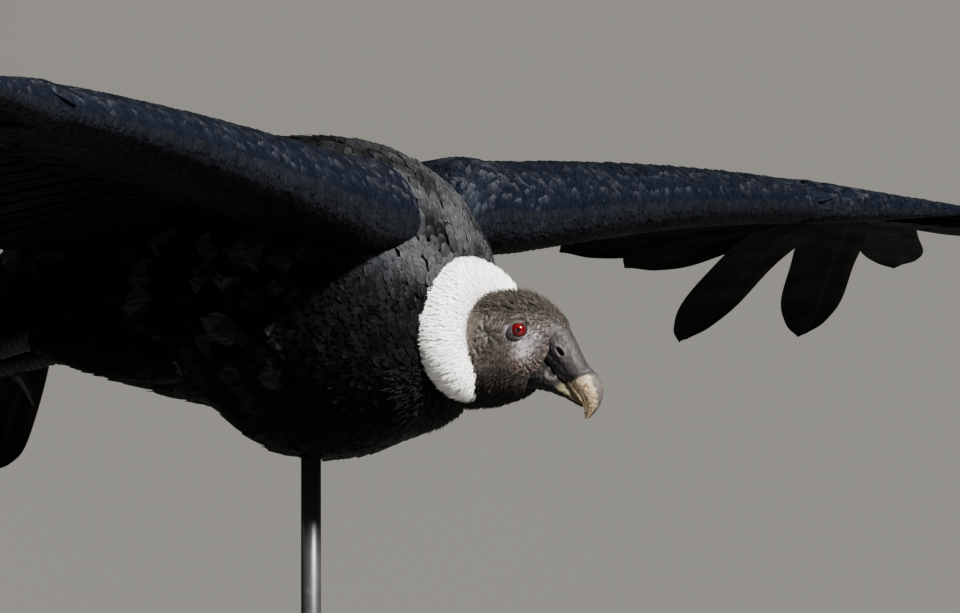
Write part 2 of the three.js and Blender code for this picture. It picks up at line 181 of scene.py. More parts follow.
# Distance of each ring of tail coverts behind the tail's root, their length and their number
TAIL_COVERTS = [(62, 120, 15), (34, 105, 13), (6, 96, 11), (-24, 90, 9)]
# A wing section is deepest, and its flesh ends, at these shares of its chord
DEEPEST, FLESH_ENDS = 0.12, 0.56
CAMBER = 0.045  # rise of the section's middle line, as a share of the chord
VANE = 3.2  # thickness of the wing behind its flesh
THIGH = {"side": 60, "from": (-190, -128), "to": (-356, -128), "radius": 42}
HEEL, SHANK, TOE_ROOT = (48, -360, -128), (46, -412, -143), (44, -464, -152)
TOES = [(-16, 66, "inner"), (2, 96, "middle"), (20, 70, "outer"), (160, 24, "hind")]
CLAW_LENGTH = 24
STAND = {"radius": 235, "thickness": 16, "bevel": 3}


# Curves, grids and lofts
def rail(points):
    """A centripetal Catmull-Rom curve through points, as a function of the share of its stations."""
    pts = np.asarray(points, float)
    ends = np.vstack([2 * pts[0] - pts[1], pts, 2 * pts[-1] - pts[-2]])

    def at(t):
        place = np.clip(np.asarray(t, float), 0, 1) * (len(pts) - 1)
        i = np.minimum(place.astype(int), len(pts) - 2)
        w = (place - i)[..., None]
        p0, p1, p2, p3 = ends[i], ends[i + 1], ends[i + 2], ends[i + 3]
        pairs = ((p0, p1), (p1, p2), (p2, p3))
        d0, d1, d2 = (((b - a) ** 2).sum(-1, keepdims=True) ** 0.25 for a, b in pairs)
        d1 = np.where(d1 < 1e-4, 1, d1)
        d0 = np.where(d0 < 1e-4, d1, d0)
        d2 = np.where(d2 < 1e-4, d1, d2)
        t1 = ((p1 - p0) / d0 - (p2 - p0) / (d0 + d1) + (p2 - p1) / d1) * d1
        t2 = ((p2 - p1) / d1 - (p3 - p1) / (d1 + d2) + (p3 - p2) / d2) * d1
        return p1 + t1 * w + (3 * (p2 - p1) - 2 * t1 - t2) * w**2 + (2 * (p1 - p2) + t1 + t2) * w**3

    return at


def smooth(low, high, x):
    """0 below low, 1 above high, and an even step between."""
    t = np.clip((x - low) / (high - low), 0, 1)
    return t * t * (3 - 2 * t)


def hump(x, width):
    """1 at 0, falling to nothing about two widths away."""
    return np.exp(-((x / width) ** 2))


def ripple(x, pitch):
    """A wave with a crest at 0 and one at every pitch from it."""
    return np.cos(x * TURN / pitch)


def blended(a, b, share):
    """a where the share is 0, b where it is 1."""
    return np.asarray(a) * (1 - share) + np.asarray(b) * share


def arc_length(points):
    """The distance along a line of points from its first."""
    return np.concatenate([[0], np.cumsum(np.linalg.norm(np.diff(points, axis=0), axis=1))])


def unit(v):
    """Vectors of length 1."""
    return v / np.maximum(np.linalg.norm(v, axis=-1, keepdims=True), 1e-9)


def waves(p, size, seed):
    """Smooth noise of about -1 to 1 from sums of waves in seeded directions."""
    rng = np.random.default_rng(seed)
    total = 0
    for octave in (1.0, 0.55, 0.3):
        for _ in range(5):
            way = unit(rng.normal(size=3))
            total = total + octave * np.sin((p @ way) * (TURN / (size * octave)) + rng.uniform(0, 6.3))
    return total / 4


def to_world(p):
    """From the bird's own frame to metres in the CAD frame, with the bird's bank."""
    x, y, z = p[..., 0], p[..., 1], p[..., 2]
    turned = np.stack([
        x * math.cos(BANK) + z * math.sin(BANK),
        y,
        -x * math.sin(BANK) + z * math.cos(BANK),
    ], -1)
    return (turned + SHOULDERS) * MM


def from_world(p):
    """Back from metres in the CAD frame to the bird's own frame."""
    level = p / MM - SHOULDERS
    x, y, z = level[:, 0], level[:, 1], level[:, 2]
    return np.stack([
        x * math.cos(BANK) - z * math.sin(BANK),
        y,
        x * math.sin(BANK) + z * math.cos(BANK),
    ], -1)


def spot(side, forward, height):
    """A point of the bird from its distances to the side, forward and up."""
    return np.array([side, -forward, height], float)


def heading(out, droop):
    """The way a feather or toe points: an angle outwards from straight back, and one downwards."""
    a, d = math.radians(out), math.radians(droop)
    return np.array([math.sin(a) * math.cos(d), math.cos(a) * math.cos(d), -math.sin(d)])


class Surface:
    """A grid of points over u (0 to 1) and v (0 to 1, closed or open), with normals facing out."""

    def __init__(self, points, closed=True):
        self.p, self.closed = points, closed
        self.nu, self.nv = points.shape[:2]
        self.du = np.gradient(points, axis=0) * (self.nu - 1)
        if closed:
            self.dv = (np.roll(points, -1, 1) - np.roll(points, 1, 1)) / 2 * self.nv
        else:
            self.dv = np.gradient(points, axis=1) * (self.nv - 1)
        self.n = unit(np.cross(self.du, self.dv))

    def look(self, grid, u, v):
        """What a grid holds at places (u, v), between its points."""
        fu = np.clip(u, 0, 1) * (self.nu - 1)
        i = np.minimum(fu.astype(int), self.nu - 2)
        a = (fu - i)[..., None]
        if self.closed:
            fv = (v % 1.0) * self.nv
            j = fv.astype(int) % self.nv
            b = (fv - np.floor(fv))[..., None]
            k = (j + 1) % self.nv
        else:
            fv = np.clip(v, 0, 1) * (self.nv - 1)
            j = np.minimum(fv.astype(int), self.nv - 2)
            b = (fv - j)[..., None]
            k = j + 1
        low = grid[i, j] * (1 - b) + grid[i, k] * b
        return low * (1 - a) + (grid[i + 1, j] * (1 - b) + grid[i + 1, k] * b) * a

    def at(self, u, v):
        """Points and normals."""
        return self.look(self.p, u, v), unit(self.look(self.n, u, v))

    def scales(self, u, v):
        """Millimetres for each unit of u and of v."""
        return (np.linalg.norm(self.look(g, u, v), axis=-1) for g in (self.du, self.dv))

    def turn_to(self, u, v, way):
        """The angle from +u towards +v at which a given direction lies on the surface."""
        tu, tv = unit(self.look(self.du, u, v)), unit(self.look(self.dv, u, v))
        return np.arctan2((tv * way).sum(-1), (tu * way).sum(-1))


def outer_surface(rings):
    """A closed surface through rings, with its normals turned out."""
    surface = Surface(rings)
    if (surface.n * (rings - rings.mean(1, keepdims=True))).sum(-1).mean() < 0:
        surface = Surface(rings[:, ::-1])
    return surface


def closed_loft(rings):
    """Points and faces of one closed body through rings (rows, sides, 3)."""
    rows, sides = rings.shape[:2]
    points = np.vstack([rings.reshape(-1, 3), rings[0].mean(0), rings[-1].mean(0)])
    i, j = np.meshgrid(np.arange(rows - 1), np.arange(sides), indexing="ij")
    k = (j + 1) % sides
    corners = [i * sides + j, (i + 1) * sides + j, (i + 1) * sides + k, i * sides + k]
    quads = np.stack(corners, -1).reshape(-1, 4)
    ring = np.arange(sides)
    near = np.stack([ring, (ring + 1) % sides, np.full(sides, rows * sides)], -1)
    far = np.stack([(ring + 1) % sides, ring, np.full(sides, rows * sides + 1)], -1)
    far[:, :2] += (rows - 1) * sides
    return points, quads, np.vstack([near, far])


def spokes(across, up, sides):
    """Directions round each point of a path, from across towards up."""
    angle = np.arange(sides)[None, :, None] / sides * TURN
    return across[:, None] * np.cos(angle) + up[:, None] * np.sin(angle)


def tube_rings(points, radius_at, rows, sides, squash=1.0):
    """Rings round a curve, each square to it."""
    t = np.linspace(0, 1, rows)
    path = rail(points)(t)
    ahead = unit(np.gradient(path, axis=0))
    side = unit(np.cross(ahead, np.array([0, 0, 1.0])))
    up = np.cross(side, ahead) * squash
    radius = np.asarray(radius_at(t))[:, None, None]
    return path[:, None] + spokes(side, up, sides) * radius


# Meshes
def mark(mesh, colours):
    """Gives a mesh the point colours that its material reads."""
    layer = mesh.color_attributes.new("Marking", "FLOAT_COLOR", "POINT")
    rgba = np.concatenate([colours, np.ones((len(colours), 1))], 1)
    layer.data.foreach_set("color", rgba.astype(np.float32).ravel())


def new_piece(name, points, faces, material, colours=None, uvs=None, world=False):
    """A smooth-shaded object from points, face arrays, point colours and corner UV maps.

    The points are in the bird's own frame, or in metres where world is true.
    """
    where = points if world else to_world(points)
    mesh = bpy.data.meshes.new(name)
    sizes = np.concatenate([np.full(len(f), f.shape[1]) for f in faces])
    corners = np.concatenate([f.ravel() for f in faces]).astype(np.int32)
    mesh.vertices.add(len(where))
    mesh.vertices.foreach_set("co", where.astype(np.float32).ravel())
    mesh.loops.add(len(corners))
    mesh.loops.foreach_set("vertex_index", corners)
    mesh.polygons.add(len(sizes))
    mesh.polygons.foreach_set("loop_start", (np.cumsum(sizes) - sizes).astype(np.int32))
    for map_name, uv in (uvs or {}).items():
        layer = mesh.uv_layers.new(name=map_name)
        layer.data.foreach_set("uv", uv[corners].astype(np.float32).ravel())
    if colours is not None:
        mark(mesh, colours)
    mesh.update(calc_edges=True)
    mesh.validate()
    mesh.polygons.foreach_set("use_smooth", np.ones(len(mesh.polygons), bool))
    mesh.materials.append(material)
    piece = bpy.data.objects.new(name, mesh)
    bpy.context.scene.collection.objects.link(piece)
    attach(piece, "root")
    return piece


PATCH = 0.003  # side of the square that a small vane takes of its piece's OFBake map


class Plumes:
    """Many vanes gathered into one mesh. Each vane is a small grid of points."""

    def __init__(self):
        self.points, self.faces, self.colours, self.vane, self.bake = [], [], [], [], []
        self.count = 0

    def add(self, grid, colour, root_uv, patch=PATCH, mirror=False):
        """grid is (vanes, along, across, 3); root_uv is each root's place on the skin's unwrap."""
        if mirror:
            grid = grid[:, :, ::-1] * MIRRORED
            colour = colour[:, :, ::-1]
        n, rows, cols = grid.shape[:3]
        a, b = np.meshgrid(np.linspace(0, 1, rows), np.linspace(0, 1, cols), indexing="ij")
        local = np.stack([b, a], -1)
        i, j = np.meshgrid(np.arange(rows - 1), np.arange(cols - 1), indexing="ij")
        first = i * cols + j
        quad = np.stack([first, first + cols, first + cols + 1, first + 1], -1)
        starts = self.count + np.arange(n)[:, None, None] * rows * cols
        self.faces.append((quad.reshape(1, -1, 4) + starts).reshape(-1, 4))
        self.points.append(grid.reshape(-1, 3))
        self.colours.append(np.broadcast_to(colour, grid.shape).reshape(-1, 3))
        self.vane.append(np.broadcast_to(local, (n, rows, cols, 2)).reshape(-1, 2))
        self.bake.append((root_uv[:, None, None] + (local - 0.5) * patch).reshape(-1, 2))
        self.count += n * rows * cols

    def build(self, name, material):
        """Makes one piece of all the vanes."""
        return new_piece(
            name, np.vstack(self.points), [np.vstack(self.faces)], material,
            colours=np.vstack(self.colours),
            uvs={"OFBake": np.vstack(self.bake), "Vane": np.vstack(self.vane)},
        )


def each(x):
    """One number for each vane, shaped to go with a grid of colours."""
    return x[:, None, None, None]


# Outlines as shares of the length, and the width there as a share of the widest
ROUND_VANE = ([0, 0.22, 0.5, 0.74, 0.9, 1.0], [0.3, 0.78, 1.0, 0.92, 0.6, 0.12])
LOCK = ([0, 0.35, 0.7, 1.0], [0.8, 1.0, 0.7, 0.08])


def lay(surface, u, v, turn, length, width, low, high, shape=ROUND_VANE, cols=5, cup=0.0, roll=0.0):
    """Vanes that follow a surface from roots (u, v), with their tips raised from low to high."""
    along, wide = (np.asarray(x, float)[None, :, None] for x in shape)
    across = np.linspace(-1, 1, cols)[None, None, :]
    length, width, low, high, turn, roll = (
        np.broadcast_to(np.asarray(x, float), u.shape)[:, None, None]
        for x in (length, width, low, high, turn, roll)
    )
    x = length * (along - 0.07 * along * across**2)
    y = width / 2 * wide * across
    su, sv = surface.scales(u, v)
    du = (x * np.cos(turn) - y * np.sin(turn)) / su[:, None, None]
    dv = (x * np.sin(turn) + y * np.cos(turn)) / sv[:, None, None]
    p, n = surface.at(u[:, None, None] + du, v[:, None, None] + dv)
    height = low + (high - low) * along**0.85 - cup * across**2 * along + roll * across * along
    return p + n * height[..., None]


def marked(grid, base, rim, strength):
    """Vane colours: a base with a paler or browner rim. strength is one number for each vane."""
    n, rows, cols = grid.shape[:3]
    a = np.linspace(0, 1, rows)[None, :, None]
    b = np.abs(np.linspace(-1, 1, cols))[None, None, :]
    edge = np.maximum(smooth(0.25, 1.0, a), 0.55 * smooth(0.4, 1.0, b) * smooth(0.15, 0.6, a))
    share = (edge * np.broadcast_to(strength, n)[:, None, None])[..., None]
    return blended(base, rim, share)


# The body's surfaces
def body_rings(rows, sides, inset):
    """Rings from the bill's base to the tail. rows are shares of the stations."""
    head = [(f + EYE["forward"], h + EYE["height"], g + EYE["forward"], k + EYE["height"], w)
            for f, h, g, k, w in HEAD_AND_NECK]
    stations = np.array(head + TRUNK, float)
    tops = rail(np.stack([0 * stations[:, 0], -stations[:, 0], stations[:, 1]], -1))(rows)
    bottoms = rail(np.stack([0 * stations[:, 2], -stations[:, 2], stations[:, 3]], -1))(rows)
    half = rail(stations[:, 4:5])(rows)[:, 0] - inset
    centre = (tops + bottoms) / 2
    upright = tops - centre
    tall = np.linalg.norm(upright, axis=1)
    upright *= ((tall - inset) / tall)[:, None]
    angle = np.arange(sides) / sides * TURN
    level = np.sin(angle)[None, :]
    top_heavy = np.interp(rows, [0.3, 0.5], [0.06, 0.1])[:, None]
    wide = half[:, None] * np.cos(angle) * (1 + top_heavy * level)
    rings = centre[:, None] + upright[:, None] * level[..., None]
    rings[..., 0] += wide
    return rings


STATIONS = len(HEAD_AND_NECK) + len(TRUNK) - 1
HEAD_ENDS = 0.3  # the share of the stations up to which the skin's rings lie close
HEAD_ROWS, BODY_ROWS, BODY_SIDES = 230, 110, 220


def coat_depth(rows):
    """How far the skin lies inside the plumage's outer shape."""
    return np.interp(rows * STATIONS, [0, 4.5, 5.4, 7, 9, 12, 20], [0.6, 0.9, 2.5, 5, 9, 12, 9])


def rel_eye(p):
    """Forward of, above and beside the eyes."""
    return -p[..., 1] - EYE["forward"], p[..., 2] - EYE["height"], np.abs(p[..., 0])


FOLD_STAR = (-29.0, -3.0)  # where the folds behind the eye meet, forward and above the eye
LID_OPENING = (6.6, 6.0)  # half width and half height
GAPE = (28, -37)  # the corner of the mouth, forward and above the eye
STRING_SLANT, STRING_PITCH = 0.35, 2.7  # the fine upright folds of the cheek
CERE_FRONT, SKIN_FRONT = 30, 28  # where the bill's soft base and the hairy skin end, forward of the eye


def from_gaze(f, h):
    """How far a place round the eye is from the line of sight: 1 on the edge of the lids."""
    bulge = np.sqrt(np.maximum((EYE["radius"] + 0.4) ** 2 - f**2 - h**2, 0))
    across = f * math.cos(GAZE) - bulge * math.sin(GAZE)
    return np.hypot(across / LID_OPENING[0], h / LID_OPENING[1])


def face_relief(p):
    """Height of the folds, brow and hollows of the bare head, in millimetres."""
    f, h, side = rel_eye(p)
    flank = smooth(6, 16, side)
    near = lambda cf, ch, r: np.exp(-(((f - cf) ** 2 + (h - ch) ** 2) / r**2))
    rough = waves(p, 9, 3)
    relief = 2.0 * near(-4, 11.5, 8) * flank + 2.2 * near(10, 9.5, 6) * flank
    relief += flank * (-2.0 * near(14, -7, 9) - 1.4 * near(3, -15, 7) + 1.2 * near(-8, -31, 12))
    dx, dz = f - FOLD_STAR[0], h - FOLD_STAR[1]
    far = np.hypot(dx, dz)
    way = np.arctan2(dz, dx)
    rays = np.cos(8 * way + 1.4 * np.sin(2 * way + 0.6) + far / 7) * smooth(2, 6, far) * hump(far, 15)
    relief += flank * (1.15 * rays - 2.6 * hump(far, 3.6))
    loops = ripple(far + 3 * rough, 5.4) * smooth(8, 13, far) * hump(far - 15, 10)
    relief += flank * 1.3 * loops * smooth(-20, -32, f)
    nape = ripple(f + 0.22 * h + 2.2 * rough, 6.2)
    relief += 1.3 * nape * smooth(-34, -42, f) * smooth(-60, -30, h)
    from_eye = np.hypot(f, h)
    arcs = ripple(from_eye + 1.2 * rough, 3.1)
    relief += 0.5 * arcs * smooth(11, 15, from_eye) * smooth(34, 20, from_eye) * smooth(-2, 6, h)
    strings = ripple(f + STRING_SLANT * h + 1.6 * rough, STRING_PITCH)
    relief += 0.7 * flank * strings * hump(f - 9, 13) * hump(h + 31, 11)
    from_gape = np.hypot(f - GAPE[0], h - GAPE[1])
    relief += flank * 1.6 * hump(from_gape - 5, 1.8) * smooth(4, -8, h + 26 - 0.3 * (f - 25))
    relief += 0.22 * waves(p, 2.6, 5) + 0.3 * waves(p, 6, 6)
    return relief * smooth(-62, -50, f)


def shape_face(rings):
    """The head's loft with its relief, and lids that close on the eyeballs."""
    normal = Surface(rings).n
    rings = rings + normal * face_relief(rings)[..., None] * 0.9
    f, h, side = rel_eye(rings)
    far = from_gaze(f, h)
    reach = np.hypot(f, h)
    ball = EYE["side"] + np.sqrt(np.maximum(EYE["radius"] ** 2 - reach**2, 0))
    lid = ball + 0.4 + 0.35 * hump(far - 1.14, 0.12)
    lid = np.maximum(lid, side - 1.7 + 0.9 * smooth(1.5, 1.9, far))
    inside = side * 0 + EYE["side"] - 4
    wanted = np.where(far < 1, inside, lid)
    share = smooth(13.5, 9.0, reach) * (side > 12)
    new_side = side * (1 - share) + wanted * share
    rings[..., 0] = np.sign(rings[..., 0]) * np.where(side > 12, new_side, side)
    return rings


def face_colour(p):
    """The bare skin's colours: dark grey brown, lilac under the eye, pale lids, browner folds."""
    f, h, side = rel_eye(p)
    near = lambda cf, ch, rf, rh: hump(f - cf, rf) * hump(h - ch, rh)
    colour = np.zeros(p.shape) + (0.036, 0.0295, 0.0255)
    patchy = waves(p, 11, 8)[..., None]

    def tint(share, shade):
        nonlocal colour
        share = np.clip(share, 0, 1)
        colour = blended(colour, shade, share[..., None] if share.ndim < colour.ndim else share)

    tint(np.clip(0.5 + patchy, 0, 1) * 0.5, (0.068, 0.053, 0.044))
    tint(0.75 * smooth(-20, -45, f) * smooth(-45, -10, h), (0.066, 0.052, 0.040))
    tint(0.92 * near(6.5, -15, 7.5, 12), (0.36, 0.32, 0.34))
    tint(0.85 * near(17, -5, 5, 9), (0.31, 0.275, 0.31))
    strings = 0.5 + 0.5 * ripple(f + STRING_SLANT * h, STRING_PITCH)
    tint(0.55 * near(7, -35, 13, 7) * strings, (0.30, 0.165, 0.145))
    tint(0.6 * near(20, 12, 12, 9), (0.054, 0.035, 0.032))
    tint(0.55 * near(27, -14, 6, 16), (0.078, 0.060, 0.056))
    tint(0.75 * smooth(14, 27, h), (0.030, 0.0255, 0.0225))
    tint(0.92 * smooth(-34, -46, h), (0.0035, 0.0032, 0.0030))
    from_gape = np.hypot(f - GAPE[0], h - GAPE[1])
    tint(0.6 * hump(from_gape - 5, 2.2) * smooth(4, -8, h + 26), (0.20, 0.18, 0.17))
    far = from_gaze(f, h)
    on_side = smooth(10, 15, side)
    tint(on_side * 0.8 * hump(far - 1.36, 0.13) * smooth(8, 0, h), (0.25, 0.235, 0.26))
    tint(on_side * 0.85 * hump(far - 1.05, 0.10), (0.022, 0.022, 0.034))
    # Painted shade: a dark band above the upper lid, under the brow
    tint(on_side * 0.6 * hump(far - 1.66, 0.14) * smooth(1, 5, h), (0.022, 0.018, 0.016))
    ahead = f - 0.9 * np.maximum(14 - side, 0)
    above_gape = smooth(-30, -26, h)
    tint(smooth(28.2, CERE_FRONT, ahead) * above_gape, (0.019, 0.0168, 0.0172))
    tint(0.8 * hump(ahead - SKIN_FRONT, 1.1) * above_gape, (0.012, 0.010, 0.010))
    # Painted shade in the creases, less in the lilac hollows, and a painted highlight on the ridges
    relief = face_relief(p)
    hollow = np.maximum(near(6.5, -15, 9, 14), near(17, -5, 7, 10))
    creases = smooth(-0.2, -1.4, relief) * smooth(9, 13, np.hypot(f, h))
    tint((0.6 - 0.55 * hollow) * creases, (0.007, 0.0055, 0.005))
    tint(0.3 * smooth(0.4, 1.4, relief), (0.085, 0.067, 0.054))
    return colour


def full(share):
    """How full a wing's section is at a share of its chord."""
    front = np.sqrt(np.maximum(1 - (1 - np.minimum(share / DEEPEST, 1)) ** 2, 0))
    back = (1 + np.cos(math.pi * np.clip((share - DEEPEST) / (FLESH_ENDS - DEEPEST), 0, 1))) / 2
    return np.where(share < DEEPEST, front, back)


def above_chord(chord):
    """The direction up from a wing's chords, square to them."""
    return unit(np.stack([0 * chord[:, 0], -chord[:, 2], chord[:, 1]], -1))


def wing_loop(lead, trail, thick, w, reach=1.0, inset=0.0):
    """Points round wing sections: w runs from -1 (under, behind) by 0 (the leading edge) to 1 (above)."""
    chord = trail - lead
    up = above_chord(chord)
    long = np.linalg.norm(chord, axis=1)[:, None]
    share = (reach * np.abs(w) ** 1.7)[None, :]
    start = inset / long
    share = start + share * (1 - start)
    camber = CAMBER * 4 * share * (1 - share) * long
    flesh = np.maximum(thick[:, None] / 2 - inset, 1) - VANE / 2
    deep = VANE / 2 * smooth(0, 0.015, share) + flesh * full(share)
    rise = camber + np.sign(w)[None, :] * deep
    return lead[:, None] + chord[:, None] * share[..., None] + up[:, None] * rise[..., None]


def arm_rails(side):
    """The leading edge, trailing edge and thickness of one arm, as curves."""
    rows = np.array(WING, float)
    lowered = (RIGHT_ROOT_LOWERED if side < 0 else 0) * (1 - (rows[:, 0] / ARM_OUTER) ** 2)
    lead = rail(np.stack([rows[:, 0], -rows[:, 1], rows[:, 2] - lowered], -1))
    trail = rail(np.stack([rows[:, 3], -rows[:, 4], rows[:, 5] - lowered], -1))
    return lead, trail, rail(rows[:, 6:7])


def arm_loops(side, t, w, **options):
    """The arm's sections at shares t of its stations, as for a left wing."""
    lead, trail, thick = arm_rails(side)
    return wing_loop(lead(t), trail(t), thick(t)[:, 0], w, **options)


def hand_loops(t, w, **options):
    """The hand's flesh, as for a left wing. t is the share of its sections."""
    rows = np.array(HAND_SECTIONS, float)
    along = heading(90 + HAND["sweep"], -HAND["dihedral"])
    bone = WRIST + rows[:, :1] * HAND["length"] * along
    lead = bone + np.stack([0 * rows[:, 1], -rows[:, 1], 0 * rows[:, 1]], -1)
    trail = bone + np.stack([0.25 * rows[:, 2], rows[:, 2] - rows[:, 1], -0.09 * rows[:, 2]], -1)
    return wing_loop(rail(lead)(t), rail(trail)(t), rail(rows[:, 3:4])(t)[:, 0], w, **options)


def ruff_surface():
    """The ruff's core, and the middle of its ring."""
    rows, sides = 120, 48
    centre = np.array([0, -(EYE["forward"] - RUFF["behind"]), EYE["height"] - RUFF["below"]])
    reach = math.pi - math.radians(RUFF["open"])
    a = np.linspace(-reach, reach, rows)
    across = RUFF["half_width"] * np.sin(a)
    yaw = math.radians(RUFF["yaw"])
    path = centre + np.stack([
        across * math.cos(yaw),
        -across * math.sin(yaw),
        RUFF["half_height"] * np.cos(a),
    ], -1)
    ahead = unit(np.gradient(path, axis=0))
    inward = unit(np.cross(ahead, np.array([0, -1.0, 0])))
    front = np.cross(inward, ahead)
    t = np.linspace(0, 1, rows)
    radius = RUFF["tube"] * (0.72 + 0.28 * np.sin(math.pi * t) ** 0.6) * RUFF["core"]
    rings = path[:, None] + spokes(inward, front, sides) * radius[:, None, None]
    rings[..., 1] += RUFF["lean"] * (rings[..., 2] - centre[2])
    return outer_surface(rings), centre


# Materials
class Value:
    """A node socket that takes part in ordinary arithmetic."""

    def __init__(self, shade, socket):
        self.shade, self.socket = shade, socket

    def math(self, operation, *others):
        """A Math node with this value as its first input."""
        values = dict(enumerate((self,) + others))
        return self.shade.node("ShaderNodeMath", {"operation": operation}, values)

    def __add__(self, other):
        return self.math("ADD", other)

    __radd__ = __add__

    def __sub__(self, other):
        return self.math("SUBTRACT", other)

    def __rsub__(self, other):
        return self.shade.node("ShaderNodeMath", {"operation": "SUBTRACT"}, {0: other, 1: self})

    def __mul__(self, other):
        return self.math("MULTIPLY", other)

    __rmul__ = __mul__


class Shade:
    """One material's node tree around a Principled BSDF."""

    def __init__(self, name, **fixed):
        self.material = bpy.data.materials.new(name)
        self.material.use_nodes = True
        self.tree = self.material.node_tree
        self.surface = self.tree.nodes["Principled BSDF"]
        for socket, value in fixed.items():
            self.surface.inputs[socket.replace("_", " ")].default_value = value

    def node(self, kind, settings=None, values=None, out=0):
        """A node of a kind, with its settings, then its sockets' values or links."""
        made = self.tree.nodes.new(kind)
        for key, value in (settings or {}).items():
            setattr(made, key, value)
        for key, value in (values or {}).items():
            if isinstance(value, Value):
                self.tree.links.new(value.socket, made.inputs[key])
            else:
                made.inputs[key].default_value = value
        return Value(self, made.outputs[out])

    def noise(self, scale, detail=3.0, vector=None):
        """Noise on the piece's own coordinates, or on a vector."""
        place = vector or self.node("ShaderNodeTexCoord", out="Object")
        return self.node("ShaderNodeTexNoise", None, {"Vector": place, "Scale": scale, "Detail": detail})

    def mix(self, share, a, b, blend="MIX"):
        """Two colours mixed."""
        settings = {"data_type": "RGBA", "blend_type": blend}
        return self.node("ShaderNodeMix", settings, {0: share, 6: a, 7: b}, out=2)

    def shaded(self, colour, tone):
        """A colour made lighter and darker by a tone about 1."""
        grey = self.node("ShaderNodeCombineColor", None, {0: tone, 1: tone, 2: tone})
        return self.mix(1.0, colour, grey, "MULTIPLY")

    def between(self, value, low, high, to_low=0.0, to_high=1.0):
        """A value taken from one range to another, and held at its ends."""
        values = {"Value": value, "From Min": low, "From Max": high, "To Min": to_low, "To Max": to_high}
        return self.node("ShaderNodeMapRange", None, values)

    def marking(self):
        """The piece's own point colours."""
        return self.node("ShaderNodeAttribute", {"attribute_name": "Marking"}, out="Color")

    def bump(self, height, strength, distance):
        """A normal that follows a height."""
        values = {"Height": height, "Strength": strength, "Distance": distance}
        return self.node("ShaderNodeBump", None, values, out="Normal")

    def finish(self, **links):
        """Links what varies to the surface's sockets."""
        for socket, value in links.items():
            self.tree.links.new(value.socket, self.surface.inputs[socket.replace("_", " ")])
        return self.material


def feather_material(name, barbs, roughness, colours, fine=3000.0):
    """Vanes: the piece's own markings, fine barbs that slant from the shaft, and a cool gloss."""
    shade = Shade(name)
    shade.surface.inputs["Specular Tint"].default_value = (*colours.gloss, 1)
    shade.surface.inputs["Specular IOR Level"].default_value = 0.025
    vane = shade.node("ShaderNodeUVMap", {"uv_map": "Vane"})
    parts = shade.node("ShaderNodeSeparateXYZ", None, {0: vane}).socket.node.outputs
    across, along = Value(shade, parts[0]), Value(shade, parts[1])
    slant = (across - 0.5).math("ABSOLUTE")
    lines = ((along - slant * 0.55) * (barbs * TURN)).math("SINE")
    own = shade.node("ShaderNodeUVMap", {"uv_map": "OFBake"})
    finer = {0: own, 1: (fine, fine / 5, 1)}
    stretched = shade.node("ShaderNodeVectorMath", {"operation": "MULTIPLY"}, finer)
    threads = shade.between(shade.noise(1.0, 4.0, stretched), 0.36, 0.64, 0.45, 1.6)
    tone = shade.between(lines, -1.0, 1.0, 0.86, 1.08) * threads
    colour = shade.shaded(shade.marking(), tone)
    rough = shade.between(shade.noise(25.0), 0.3, 0.7, roughness - 0.07, roughness + 0.09)
    height = lines * 0.35 + threads
    return shade.finish(Base_Color=colour, Roughness=rough, Normal=shade.bump(height, 0.2, 0.0003))


def down_material(name, low, high, roughness=0.9, sheen=0.0):
    """Soft down: its markings a little uneven from lock to lock."""
    shade = Shade(name, Sheen_Weight=sheen, Sheen_Roughness=0.5, Specular_IOR_Level=0.15)
    uneven = shade.between(shade.noise(300.0), 0.3, 0.7, low, high)
    colour = shade.shaded(shade.marking(), uneven)
    shade.surface.inputs["Roughness"].default_value = roughness
    return shade.finish(Base_Color=colour)


def skin_material():
    """Bare wrinkled skin: pebbled grain, fine creases and a slight oily shine."""
    shade = Shade("Bare skin", Specular_IOR_Level=0.42)
    grain = shade.node("ShaderNodeTexVoronoi", {"feature": "DISTANCE_TO_EDGE"}, {
        "Vector": shade.node("ShaderNodeTexCoord", out="Object"), "Scale": 900.0}, out="Distance")
    creases = shade.between(grain, 0.0, 0.22)
    fine = shade.noise(1400.0, 4.0)
    mottled = shade.noise(220.0, 5.0)
    # The tone darkens the grain's grooves: painted shade
    tone = shade.between(mottled, 0.3, 0.7, 0.62, 1.4) * shade.between(creases, 0.0, 1.0, 0.72, 1.05)
    colour = shade.shaded(shade.marking(), tone)
    rough = shade.between(fine, 0.3, 0.7, 0.46, 0.66)
    height = creases * 0.6 + fine * 0.5
    return shade.finish(Base_Color=colour, Roughness=rough, Normal=shade.bump(height, 0.5, 0.0004))


def bill_material():
    """Horn: growth lines and pits, its colours from the markings, and brown speckles on the pale tip."""
    shade = Shade("Bill horn", Specular_IOR_Level=0.28)
    markings = shade.marking()
    red = shade.node("ShaderNodeSeparateColor", None, {0: markings})
    pale = shade.between(red, 0.10, 0.28)
    speckles = shade.between(shade.noise(420.0, 6.0), 0.46, 0.58)
    speckles = speckles * shade.between(shade.noise(130.0, 3.0), 0.30, 0.48)
    spotted = shade.mix(pale * speckles * 0.85, markings, (0.12, 0.065, 0.03, 1))
    tone = shade.between(shade.noise(260.0, 5.0), 0.3, 0.7, 0.7, 1.3)
    colour = shade.shaded(spotted, tone)
    height = shade.noise(700.0, 5.0) + shade.noise(180.0, 3.0) * 0.6
    rough = shade.between(shade.noise(350.0), 0.3, 0.7, 0.55, 0.72) - pale * 0.22
    return shade.finish(Base_Color=colour, Roughness=rough, Normal=shade.bump(height, 0.35, 0.0005))


def eye_material():
    """A wet eye: its markings, faintly mottled, under a clear coat."""
    shade = Shade("Eye", Coat_Roughness=0.02, Specular_IOR_Level=0.2)
    shade.surface.inputs["Coat Weight"].default_value = 0.7
    shade.surface.inputs["Roughness"].default_value = 0.12
    tone = shade.between(shade.noise(1500.0, 3.0), 0.3, 0.7, 0.75, 1.25)
    colour = shade.shaded(shade.marking(), tone)
    return shade.finish(Base_Color=colour)


